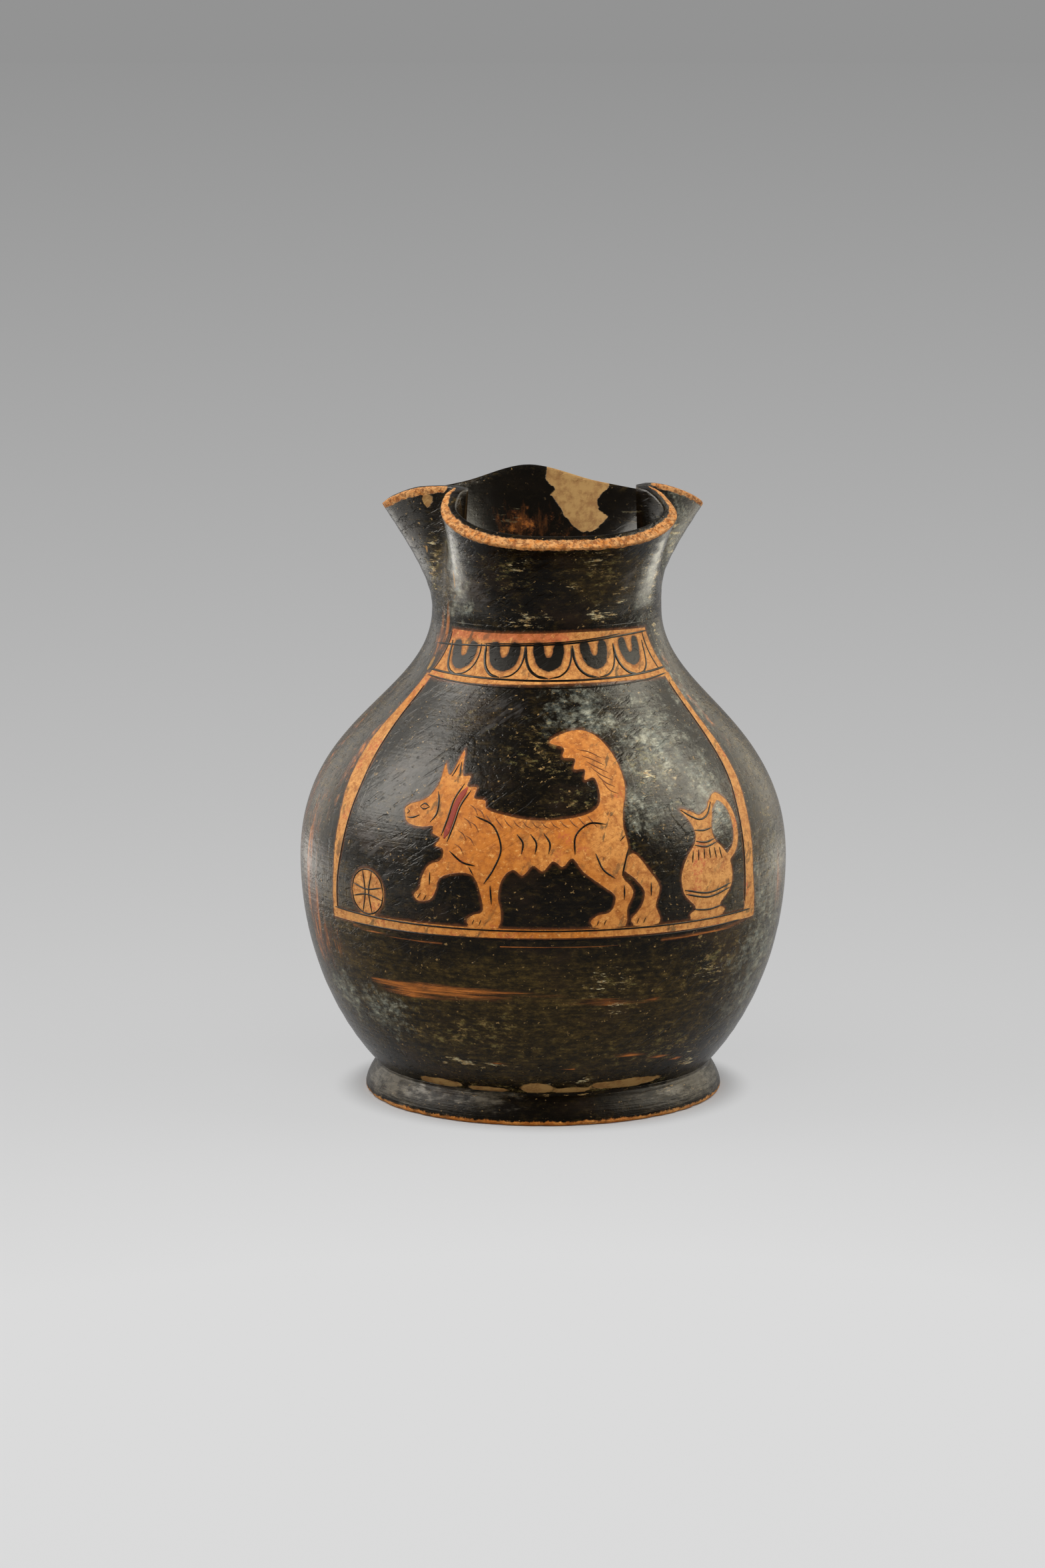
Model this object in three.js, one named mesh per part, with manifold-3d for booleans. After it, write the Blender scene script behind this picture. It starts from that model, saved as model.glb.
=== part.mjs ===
// Small fired-clay jug with a three-lobed mouth, a low ring foot and a strap handle at the back.
// Millimetres, +Z up, the pouring lobe towards -Y and the handle towards +Y.
import * as THREE from 'three';
import { mergeVertices } from 'three/addons/utils/BufferGeometryUtils.js';
import Module from 'manifold-3d';

// Thrown body: outer radius and height at the waist, the belly and the neck
const waist = { radius: 24.2, height: 4.5, spread: 1.7 };
const belly = { radius: 35.05, height: 34.2, below: 18, above: 20.2 };
const neck = { radius: 16.42, height: 70.2, below: 12.8 };
const neckLean = { shift: 0.5, from: 45, to: 66 };
const bodyWall = 3;
const lipWall = 2.2;
const lipRound = 0.35;
const floorHeight = 8;
const floorEdge = { radius: 23.4, height: 10.6 };

// Outer edge of the lip, pinched by hand: x, y, z from the middle of the spout round by +X and the back
const rim = [
  [0, -20.9, 80.7],
  [8.2, -20.0, 81.0],
  [13.9, -16.0, 82.1],
  [16.9, -10.8, 84.0],
  [15.6, -6.2, 86.6],
  [14.0, -3.9, 87.5],
  [15.6, -2.7, 87.5],
  [19.5, -0.8, 86.3],
  [23.4, 4.6, 84.0],
  [20.2, 12.9, 83.5],
  [10.5, 18.0, 85.4],
  [0, 20.5, 87.9],
  [-10.3, 18.0, 85.7],
  [-19.8, 12.9, 84.2],
  [-22.9, 4.6, 84.7],
  [-19.5, -0.8, 86.9],
  [-15.6, -2.7, 87.5],
  [-14.0, -3.9, 87.6],
  [-15.4, -6.2, 86.8],
  [-16.4, -10.8, 84.5],
  [-13.8, -16.0, 82.2],
  [-8.2, -20.0, 81.0],
];
const mouthFlare = { side: 1.3, spout: 0.4, rise: 0.25, fall: 0.36 };

// Ring foot: a groove under the body, a rounded outside, a narrow flat to stand on and a hollow underneath
const foot = {
  height: 4.5,
  groove: { radius: 24.15, height: 3.95 },
  shoulder: { radius: 24.5, height: 3.7, out: 0.7, down: 0.9 },
  swell: { radius: 25.87, height: 0.55, above: 0.95 },
  rest: { radius: 25.2, inner: 21.3, pull: 0.4 },
  inner: 19,
};

// Strap handle: middle line in the Y-Z plane, from behind the lip to the shoulder
const handlePath = [
  [16.5, 80.6],
  [21.5, 83.4],
  [27.5, 84.6],
  [33.5, 82.0],
  [37.6, 75.5],
  [38.9, 67.0],
  [37.6, 58.5],
  [34.6, 51.0],
  [30.4, 44.6],
];
const strap = { halfWidth: 5.6, spreadTop: 2.6, spreadFoot: 1.8, halfThickness: 2.1, squareness: 2.5 };
const jointGap = 0.3;

// Mesh fineness
const around = 72;
const lowerSteps = 8;
const upperSteps = 11;
const mouthSteps = 6;
const innerMouthSteps = 4;
const innerBodySteps = 10;
const footSteps = 5;
const footUnderSteps = 2;
const handleSteps = 22;
const handleSides = 12;

const gloss = { color: 0x1f1c19, roughness: 0.36, metalness: 0 };

function bezier(t, a, b, c, d) {
  const s = 1 - t;
  return s * s * s * a + 3 * s * s * t * b + 3 * s * t * t * c + t * t * t * d;
}

// The whole edge of the lip as one closed smooth curve
function lipCurve() {
  return new THREE.CatmullRomCurve3(rim.map((p) => new THREE.Vector3(...p)), true, 'centripetal');
}

// Angles are measured round the axis from the spout, -Y, towards +X
const lipPoints = lipCurve().getPoints(40 * rim.length).map((p) => ({
  angle: (Math.atan2(p.x, -p.y) + 2 * Math.PI) % (2 * Math.PI),
  radius: Math.hypot(p.x, p.y),
  height: p.z,
}));
lipPoints.sort((p, q) => p.angle - q.angle);

// Radius and height of the lip's outer edge at one angle, between its two nearest curve points
function lipAt(angle) {
  const turn = 2 * Math.PI;
  const first = lipPoints[0];
  const last = lipPoints[lipPoints.length - 1];
  const next = lipPoints.findIndex((p) => p.angle >= angle);
  const a = next > 0 ? lipPoints[next - 1] : { ...last, angle: next === 0 ? last.angle - turn : last.angle };
  const b = next < 0 ? { ...first, angle: first.angle + turn } : lipPoints[next];
  const t = (angle - a.angle) / Math.max(b.angle - a.angle, 1e-9);
  return { radius: a.radius + t * (b.radius - a.radius), height: a.height + t * (b.height - a.height) };
}

// One upright curve of the wall at an angle: stage 0 to 1 is waist to belly, 1 to 2 belly to neck,
// and 2 to 3 neck to lip. The mouth opens from the round neck into the lobes of the lip.
function wallPoint(angle, stage) {
  let radius;
  let height;
  if (stage <= 1) {
    const { radius: low, height: base, spread } = waist;
    radius = bezier(stage, low, low + spread, belly.radius, belly.radius);
    height = bezier(stage, base, base + spread, belly.height - belly.below, belly.height);
  } else if (stage <= 2) {
    radius = bezier(stage - 1, belly.radius, belly.radius, neck.radius, neck.radius);
    height = bezier(stage - 1, belly.height, belly.height + belly.above,
      neck.height - neck.below, neck.height);
  } else {
    const lip = lipAt((angle + 4 * Math.PI) % (2 * Math.PI));
    const rise = lip.height - neck.height;
    const forward = Math.max(0, Math.cos(angle));
    const spread = mouthFlare.side * (lip.radius - neck.radius) / rise;
    const lean = Math.atan(spread + mouthFlare.spout * forward ** 2);
    const back = mouthFlare.fall * rise;
    radius = bezier(stage - 2, neck.radius, neck.radius, lip.radius - back * Math.sin(lean), lip.radius);
    height = bezier(stage - 2, neck.height, neck.height + mouthFlare.rise * rise,
      lip.height - back * Math.cos(lean), lip.height);
  }
  const shift = neckLean.shift * THREE.MathUtils.smoothstep(height, neckLean.from, neckLean.to);
  return new THREE.Vector3(radius * Math.sin(angle) + shift, -radius * Math.cos(angle), height);
}

// Outward normal of the wall, from small steps along it and around it
function wallNormal(angle, stage) {
  const step = 1e-3;
  const a = Math.min(Math.max(stage, step), 3 - step);
  const up = wallPoint(angle, a + step).sub(wallPoint(angle, a - step));
  const round = wallPoint(angle + step, a).sub(wallPoint(angle - step, a));
  return round.cross(up).normalize();
}

function offsetPoint(angle, stage, distance) {
  return wallPoint(angle, stage).addScaledVector(wallNormal(angle, stage), distance);
}

const angles = Array.from({ length: around }, (_, i) => (2 * Math.PI * i) / around);

function ring(pointAt) {
  return angles.map(pointAt);
}

function roundRing(radius, height) {
  return ring((a) => new THREE.Vector3(radius * Math.sin(a), -radius * Math.cos(a), height));
}

// Closed skin over a stack of rings. Each end closes on a middle point, or the last ring on the first.
function skin(rings, ends) {
  const count = rings[0].length;
  const positions = rings.flat().flatMap((p) => [p.x, p.y, p.z]);
  const index = [];
  const bands = ends ? rings.length - 1 : rings.length;
  for (let i = 0; i < bands; i++) {
    for (let j = 0; j < count; j++) {
      const k = (j + 1) % count;
      const low = i * count;
      const high = ((i + 1) % rings.length) * count;
      index.push(low + j, low + k, high + k, low + j, high + k, high + j);
    }
  }
  if (ends) {
    const [first, last] = ends;
    const start = rings.length * count;
    positions.push(first.x, first.y, first.z, last.x, last.y, last.z);
    const top = (rings.length - 1) * count;
    for (let j = 0; j < count; j++) {
      const k = (j + 1) % count;
      index.push(start, k, j, start + 1, top + j, top + k);
    }
  }
  const geometry = new THREE.BufferGeometry();
  geometry.setAttribute('position', new THREE.Float32BufferAttribute(positions, 3));
  geometry.setIndex(index);
  return geometry;
}

function steps(from, to, count) {
  return Array.from({ length: count + 1 }, (_, i) => from + ((to - from) * i) / count);
}

// Outside from the waist to the lip, over the lip and down the inside to the floor
function bodyGeometry() {
  const outside = [
    ...steps(0, 1, lowerSteps),
    ...steps(1, 2, upperSteps).slice(1),
    ...steps(2, 3, mouthSteps).slice(1),
  ].map((stage) => ring((a) => wallPoint(a, stage)));
  const lip = ring((a) => {
    const along = wallPoint(a, 3).sub(wallPoint(a, 2.98)).normalize();
    return offsetPoint(a, 3, -lipWall / 2).addScaledVector(along, lipRound);
  });
  const insideMouth = steps(3, 2, innerMouthSteps).map((stage) => {
    const wall = THREE.MathUtils.lerp(bodyWall, lipWall, stage - 2);
    return ring((a) => offsetPoint(a, stage, -wall));
  });
  const insideBody = steps(2, 0.28, innerBodySteps).slice(1)
    .map((stage) => ring((a) => offsetPoint(a, stage, -bodyWall)));
  const floor = [
    roundRing(floorEdge.radius, floorEdge.height),
    roundRing(floorEdge.radius * 0.7, floorHeight + 0.7),
  ];
  const rings = [...outside, lip, ...insideMouth, ...insideBody, ...floor];
  return skin(rings, [new THREE.Vector3(0, 0, waist.height), new THREE.Vector3(0, 0, floorHeight)]);
}

// Section of the foot, run round the axis: up from the standing ring over the swell to the groove
function footGeometry() {
  const { groove, shoulder, swell, rest } = foot;
  const under = steps(0, 1, footUnderSteps).map((t) => [
    bezier(t, rest.radius, rest.radius + rest.pull, swell.radius, swell.radius),
    bezier(t, 0, 0, swell.height / 2, swell.height),
  ]);
  const bulge = steps(0, 1, footSteps).map((t) => [
    bezier(t, swell.radius, swell.radius, shoulder.radius + shoulder.out, shoulder.radius),
    bezier(t, swell.height, swell.height + swell.above, shoulder.height - shoulder.down, shoulder.height),
  ]);
  const profile = [
    [rest.inner, 0],
    ...under,
    ...bulge.slice(1),
    [groove.radius, groove.height],
    [waist.radius, foot.height],
    [foot.inner, foot.height],
    [foot.inner + 0.5, foot.height / 2],
  ];
  return skin(profile.map(([radius, height]) => roundRing(radius, height)), null);
}

// Strap sections square to the middle line, wider where it meets the lip and the shoulder
function strapGeometry() {
  const points = handlePath.map(([y, z]) => new THREE.Vector3(0, y, z));
  const path = new THREE.CatmullRomCurve3(points, false, 'centripetal');
  const rings = steps(0, 1, handleSteps).map((t) => {
    const centre = path.getPoint(t);
    const along = path.getTangent(t);
    const out = new THREE.Vector3(0, along.z, -along.y);
    const width = strap.halfWidth + strap.spreadTop * (1 - t) ** 4 + strap.spreadFoot * t ** 4;
    return Array.from({ length: handleSides }, (_, i) => {
      const a = (2 * Math.PI * i) / handleSides;
      const power = 2 / strap.squareness;
      const x = width * Math.sign(Math.cos(a)) * Math.abs(Math.cos(a)) ** power;
      const h = strap.halfThickness * Math.sign(Math.sin(a)) * Math.abs(Math.sin(a)) ** power;
      return centre.clone().add(new THREE.Vector3(x, 0, 0)).addScaledVector(out, h);
    });
  });
  return skin(rings, [path.getPoint(0), path.getPoint(1)]);
}

// Filled copy of the body's outside, grown by the gap that the joint keeps
function bodyEnvelope() {
  const stages = [
    ...steps(0, 1, 3),
    ...steps(1, 2, 2 * upperSteps).slice(1),
    ...steps(2, 3, mouthSteps).slice(1),
  ];
  const rings = stages.map((stage) => ring((a) => offsetPoint(a, stage, jointGap)));
  const top = ring((a) => offsetPoint(a, 3, jointGap).add(new THREE.Vector3(0, 0, jointGap)));
  return skin([...rings, top], [new THREE.Vector3(0, 0, waist.height), new THREE.Vector3(0, 0, neck.height)]);
}

const wasm = await Module();
wasm.setup();

function toSolid(geometry) {
  const bare = geometry.clone();
  bare.deleteAttribute('normal');
  bare.deleteAttribute('uv');
  const merged = mergeVertices(bare, 1e-5);
  return new wasm.Manifold(new wasm.Mesh({
    numProp: 3,
    vertProperties: new Float32Array(merged.attributes.position.array),
    triVerts: new Uint32Array(merged.index.array),
  }));
}

function toGeometry(solid) {
  const mesh = solid.getMesh();
  const geometry = new THREE.BufferGeometry();
  geometry.setAttribute('position', new THREE.Float32BufferAttribute(mesh.vertProperties, 3));
  geometry.setIndex(Array.from(mesh.triVerts));
  return geometry;
}

function clayMesh(name, geometry) {
  geometry.computeVertexNormals();
  const mesh = new THREE.Mesh(geometry, new THREE.MeshStandardMaterial(gloss));
  mesh.name = name;
  return mesh;
}

const jug = new THREE.Group();
jug.add(clayMesh('body', bodyGeometry()));
jug.add(clayMesh('foot', footGeometry()));
jug.add(clayMesh('handle', toGeometry(toSolid(strapGeometry()).subtract(toSolid(bodyEnvelope())))));

// The origin stands under the middle of the whole jug
const bounds = new THREE.Box3().setFromObject(jug);
jug.position.y = -(bounds.min.y + bounds.max.y) / 2;

export default jug;
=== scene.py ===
"""Small black-gloss jug with a three-lobed mouth and a painted panel, dressed over its solid frame."""
import itertools
import math
import bpy
import numpy as np
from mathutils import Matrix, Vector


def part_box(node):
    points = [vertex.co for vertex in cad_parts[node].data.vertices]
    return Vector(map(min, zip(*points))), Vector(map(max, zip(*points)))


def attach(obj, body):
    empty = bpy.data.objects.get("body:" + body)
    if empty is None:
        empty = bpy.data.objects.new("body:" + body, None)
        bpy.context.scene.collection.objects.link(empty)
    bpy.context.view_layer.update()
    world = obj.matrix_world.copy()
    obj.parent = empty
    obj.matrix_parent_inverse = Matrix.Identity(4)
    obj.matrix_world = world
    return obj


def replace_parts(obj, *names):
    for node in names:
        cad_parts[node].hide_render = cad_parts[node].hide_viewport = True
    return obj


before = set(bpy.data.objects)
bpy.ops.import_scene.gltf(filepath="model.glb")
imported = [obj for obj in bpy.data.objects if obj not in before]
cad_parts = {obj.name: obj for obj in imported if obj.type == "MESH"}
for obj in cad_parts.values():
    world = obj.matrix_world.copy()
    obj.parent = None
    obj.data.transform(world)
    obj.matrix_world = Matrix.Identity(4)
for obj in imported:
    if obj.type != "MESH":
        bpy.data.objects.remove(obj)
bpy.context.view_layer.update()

MM = 0.001

# The thrown wall, in millimetres from the standing surface and from the jug's own axis
WAIST_RADIUS, WAIST_HEIGHT, WAIST_SPREAD = 24.2, 4.5, 1.7
BELLY_RADIUS, BELLY_HEIGHT, BELLY_BELOW, BELLY_ABOVE = 35.05, 34.2, 18.0, 20.2
NECK_RADIUS, NECK_HEIGHT, NECK_BELOW = 16.42, 70.2, 12.8
LEAN_SHIFT, LEAN_FROM, LEAN_TO = 0.5, 45.0, 66.0
BODY_WALL, LIP_WALL, LIP_CROWN, LIP_CORNER, CROWN_CORNER = 3.0, 2.2, 0.4, 0.45, 0.5
FLOOR_HEIGHT = 8.0

# Outer edge of the lip, pinched by hand: from the middle of the spout round by +X and the back
RIM = np.array([
    (0, -20.9, 80.7), (8.2, -20.0, 81.0), (13.9, -16.0, 82.1), (16.9, -10.8, 84.0), (15.6, -6.2, 86.6),
    (14.0, -3.9, 87.5), (15.6, -2.7, 87.5), (19.5, -0.8, 86.3), (23.4, 4.6, 84.0), (20.2, 12.9, 83.5),
    (10.5, 18.0, 85.4), (0, 20.5, 87.9), (-10.3, 18.0, 85.7), (-19.8, 12.9, 84.2), (-22.9, 4.6, 84.7),
    (-19.5, -0.8, 86.9), (-15.6, -2.7, 87.5), (-14.0, -3.9, 87.6), (-15.4, -6.2, 86.8), (-16.4, -10.8, 84.5),
    (-13.8, -16.0, 82.2), (-8.2, -20.0, 81.0)], float)
SIDE_FLARE, SPOUT_FLARE, FLARE_RISE, FLARE_FALL = 1.3, 0.4, 0.25, 0.36

# Ring foot: standing flat, swell, shoulder and groove
FOOT_REST, FOOT_REST_INNER, FOOT_PULL = 25.2, 21.3, 0.4
FOOT_SWELL, SWELL_HEIGHT, SWELL_ABOVE = 25.87, 0.55, 0.95
FOOT_SHOULDER, SHOULDER_HEIGHT, SHOULDER_OUT, SHOULDER_DOWN = 24.5, 3.7, 0.7, 0.9
FOOT_GROOVE, GROOVE_HEIGHT = 24.15, 3.95
FOOT_INNER, FOOT_ANGLES = 19.0, 320
# Unevenness of the foot, broad and fine, and depth of the chips along its standing edge
FOOT_BROAD, FOOT_FINE, CHIP_DEPTH = 0.05, 0.03, 0.35

# Strap handle: middle line behind the jug as distance from the axis and height
HANDLE_PATH = np.array([
    (16.5, 80.6), (21.5, 83.4), (27.5, 84.6), (33.5, 82.0), (37.6, 75.5), (38.9, 67.0), (37.6, 58.5),
    (34.6, 51.0), (30.4, 44.6)])
STRAP_HALF, STRAP_TOP, STRAP_FOOT, STRAP_THICK, STRAP_SQUARE = 5.6, 2.6, 1.8, 2.1, 2.5
STRAP_SWELL, STRAP_SINK, STRAP_UNEVEN, STRAP_ANGLES = 0.5, 0.9, 0.12, 64
TONGUE_START, TONGUE_DEPTH = 0.84, 0.9

# The panel's middle lies this far round from the spout's, and faces the photograph's camera
PANEL_TURN = math.radians(8.0)
AXIS_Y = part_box("body")[0][1] / MM + BELLY_RADIUS


def bezier(t, a, b, c, d):
    """Point on a cubic curve from a to d, pulled towards b and c."""
    s = 1 - t
    return s ** 3 * a + 3 * s * s * t * b + 3 * s * t * t * c + t ** 3 * d


def smooth(x, low, high):
    """Rises from 0 at low to 1 at high with flat ends, or falls where low is above high."""
    t = np.clip((x - low) / (high - low), 0, 1)
    return t * t * (3 - 2 * t)


def closed_curve(points, per_span):
    """Closed centripetal Catmull-Rom curve: knots spaced by the square root of the chord."""
    before, start, end, after = (np.roll(points, k, 0) for k in (1, 0, -1, -2))

    def knot(a, b):
        return np.sqrt(np.linalg.norm(b - a, axis=1))[:, None]

    d0, d1, d2 = knot(before, start), knot(start, end), knot(end, after)
    m1 = ((start - before) / d0 - (end - before) / (d0 + d1) + (end - start) / d1) * d1
    m2 = ((end - start) / d1 - (after - start) / (d1 + d2) + (after - end) / d2) * d1
    t = (np.arange(per_span) / per_span)[None, :, None]
    start, end, m1, m2 = (a[:, None, :] for a in (start, end, m1, m2))
    q = ((2 * t ** 3 - 3 * t ** 2 + 1) * start + (t ** 3 - 2 * t ** 2 + t) * m1
         + (3 * t ** 2 - 2 * t ** 3) * end + (t ** 3 - t ** 2) * m2)
    return q.reshape(-1, points.shape[1])


def open_curve(points, per_span):
    """Open centripetal Catmull-Rom curve through the points, its ends carried on straight."""
    points = np.asarray(points, float)
    ends = np.vstack([2 * points[0] - points[1], points, 2 * points[-1] - points[-2]])
    spans = len(points) - 1
    q = closed_curve(ends, per_span).reshape(len(ends), per_span, -1)[1:1 + spans]
    return np.vstack([q.reshape(spans * per_span, -1), points[-1:]])


def lattice_noise(points, size, seed):
    """Smooth noise from -1 to 1: seeded numbers on a cubic lattice, blended between each cell's corners."""
    count = 32
    table = np.random.default_rng(seed).uniform(-1, 1, (count, count, count))
    cell = np.floor(points / size).astype(int)
    t = points / size - cell
    t = t * t * (3 - 2 * t)
    total = np.zeros(points.shape[:-1])
    for corner in itertools.product((0, 1), repeat=3):
        index = (cell + corner) % count
        share = np.prod(np.where(corner, t, 1 - t), axis=-1)
        total += table[index[..., 0], index[..., 1], index[..., 2]] * share
    return total


LIP = closed_curve(RIM, per_span=60)
LIP_ANGLE = np.arctan2(LIP[:, 0], -LIP[:, 1]) % (2 * np.pi)
LIP_RADIUS = np.hypot(LIP[:, 0], LIP[:, 1])


def wall_point(angle, stage):
    """Wall at an angle from the spout: stage 0 to 1 waist to belly, to 2 belly to neck, to 3 neck to lip.

    The first two stages are one cubic curve each, turned round the axis. The third is a cubic curve at each
    angle, from the round neck to the lip's edge at that angle, leaning out as the lip does.
    """
    angle, stage = np.broadcast_arrays(angle, stage)
    a, b, c = np.clip(stage, 0, 1), np.clip(stage - 1, 0, 1), np.clip(stage - 2, 0, 1)
    low_r = bezier(a, WAIST_RADIUS, WAIST_RADIUS + WAIST_SPREAD, BELLY_RADIUS, BELLY_RADIUS)
    low_z = bezier(a, WAIST_HEIGHT, WAIST_HEIGHT + WAIST_SPREAD, BELLY_HEIGHT - BELLY_BELOW, BELLY_HEIGHT)
    mid_r = bezier(b, BELLY_RADIUS, BELLY_RADIUS, NECK_RADIUS, NECK_RADIUS)
    mid_z = bezier(b, BELLY_HEIGHT, BELLY_HEIGHT + BELLY_ABOVE, NECK_HEIGHT - NECK_BELOW, NECK_HEIGHT)
    lip_r = np.interp(angle, LIP_ANGLE, LIP_RADIUS, period=2 * np.pi)
    lip_z = np.interp(angle, LIP_ANGLE, LIP[:, 2], period=2 * np.pi)
    rise = lip_z - NECK_HEIGHT
    forward = np.maximum(0, np.cos(angle))
    lean = np.arctan(SIDE_FLARE * (lip_r - NECK_RADIUS) / rise + SPOUT_FLARE * forward ** 2)
    back = FLARE_FALL * rise
    top_r = bezier(c, NECK_RADIUS, NECK_RADIUS, lip_r - back * np.sin(lean), lip_r)
    top_z = bezier(c, NECK_HEIGHT, NECK_HEIGHT + FLARE_RISE * rise, lip_z - back * np.cos(lean), lip_z)
    radius = np.where(stage <= 1, low_r, np.where(stage <= 2, mid_r, top_r))
    height = np.where(stage <= 1, low_z, np.where(stage <= 2, mid_z, top_z))
    shift = LEAN_SHIFT * smooth(height, LEAN_FROM, LEAN_TO)
    return np.stack([radius * np.sin(angle) + shift, -radius * np.cos(angle), height], -1)


def wall_frame(angle, stage):
    """Wall point with its unit outward normal and its unit direction up the wall."""
    step = 1e-3
    middle = np.clip(stage, step, 3 - step)
    up = wall_point(angle, middle + step) - wall_point(angle, middle - step)
    along = wall_point(angle + step, middle) - wall_point(angle - step, middle)
    normal = np.cross(along, up)
    normal /= np.linalg.norm(normal, axis=-1, keepdims=True)
    up /= np.linalg.norm(up, axis=-1, keepdims=True)
    return wall_point(angle, stage), normal, up


STAGES = np.linspace(0, 2, 400)
STAGE_HEIGHTS = wall_point(0.0, STAGES)[:, 2]


def stage_of_height(height):
    """Stage of the wall at a height above the standing surface, up to the neck."""
    return np.interp(height, STAGE_HEIGHTS, STAGES)


def turn_of(angle):
    """Degrees round from the panel's middle, from -180 to 180."""
    return np.degrees((angle + PANEL_TURN + np.pi) % (2 * np.pi) - np.pi)


def to_world(points):
    """From millimetres about the jug's own axis to metres in the frame."""
    return (np.asarray(points) + [0, AXIS_Y, 0]) * MM


def ring_rows(radii, heights, angles):
    """Level rings round the axis, one for each radius and height."""
    r, z = np.asarray(radii, float)[:, None], np.asarray(heights, float)[:, None]
    return np.stack([r * np.sin(angles), -r * np.cos(angles), z + 0 * angles], -1)


def band_faces(low, high, low_count, high_count):
    """Faces between two rings, from their first points and their counts, which may halve or double."""
    j = np.arange(min(low_count, high_count))
    k = (j + 1) % len(j)
    if low_count == high_count:
        return [np.stack([low + j, low + k, high + k, high + j], 1)]
    if low_count > high_count:
        middle, end = low + 2 * j + 1, low + 2 * k
        return [np.stack([low + 2 * j, middle, high + j], 1), np.stack([middle, end, high + k], 1),
                np.stack([middle, high + k, high + j], 1)]
    middle, end = high + 2 * j + 1, high + 2 * k
    return [np.stack([low + j, middle, high + 2 * j], 1), np.stack([low + j, low + k, middle], 1),
            np.stack([low + k, end, middle], 1)]


def skin(rows, ends=None):
    """Points and faces of a stack of rings, closed on two end points or from its last ring to its first."""
    counts = [len(row) for row in rows]
    starts = np.concatenate([[0], np.cumsum(counts)])
    points = np.concatenate(list(rows) + ([np.array(ends, float)] if ends is not None else []))
    faces = []
    for i in range(len(rows) - 1):
        faces += band_faces(starts[i], starts[i + 1], counts[i], counts[i + 1])
    if ends is None:
        return points, faces + band_faces(starts[-2], starts[0], counts[-1], counts[0])
    first, last = np.arange(counts[0]), starts[-2] + np.arange(counts[-1])
    tips = np.full(counts[0], starts[-1]), np.full(counts[-1], starts[-1] + 1)
    faces.append(np.stack([tips[0], np.roll(first, -1), first], 1))
    faces.append(np.stack([tips[1], last, np.roll(last, -1)], 1))
    return points, faces


def add_mesh(name, points, faces, material, fields=None):
    """Smooth mesh object from points in millimetres, arrays of faces and values at the points."""
    mesh = bpy.data.meshes.new(name)
    mesh.from_pydata(to_world(points).tolist(), [], [f for part in faces for f in part.tolist()])
    mesh.shade_smooth()
    for label, values in (fields or {}).items():
        mesh.attributes.new(label, "FLOAT", "POINT").data.foreach_set("value", np.ravel(values))
    mesh.materials.append(material)
    mesh.update()
    thing = bpy.data.objects.new(name, mesh)
    bpy.context.scene.collection.objects.link(thing)
    return thing


def add_piece(name, points, faces, slot, material, fields=None):
    """Mesh object that belongs to the jug."""
    piece = add_mesh(name, points, faces, material, fields)
    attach(piece, "root")
    return piece


class Value:
    """A socket's output; operators on it add Math nodes."""

    def __init__(self, shader, socket):
        self.shader, self.socket = shader, socket

    def math(self, operation, first, second):
        return self.shader.add("Math", {"operation": operation}, {0: first, 1: second})

    def __add__(self, other):
        return self.math("ADD", self, other)

    def __sub__(self, other):
        return self.math("SUBTRACT", self, other)

    def __rsub__(self, other):
        return self.math("SUBTRACT", other, self)

    def __mul__(self, other):
        return self.math("MULTIPLY", self, other)

    def __truediv__(self, other):
        return self.math("DIVIDE", self, other)

    def __rtruediv__(self, other):
        return self.math("DIVIDE", other, self)

    def __pow__(self, other):
        return self.math("POWER", self, other)

    __radd__, __rmul__ = __add__, __mul__

    def max(self, other):
        return self.math("MAXIMUM", self, other)

    def min(self, other):
        return self.math("MINIMUM", self, other)

    def step(self, low, high):
        """Rises smoothly from 0 at low to 1 at high; falls where low is above high."""
        if low > high:
            return 1 - self.step(high, low)
        return self.shader.add("MapRange", {"interpolation_type": "SMOOTHSTEP"},
                               {0: self, 1: low, 2: high, 3: 0.0, 4: 1.0})


# Refractive index of the dull black slip and of the duller foot and handle, and roughness of polished places
SLIP_IOR, FOOT_IOR, COAT_ROUGH = 1.2, 1.14, 0.22


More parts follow.
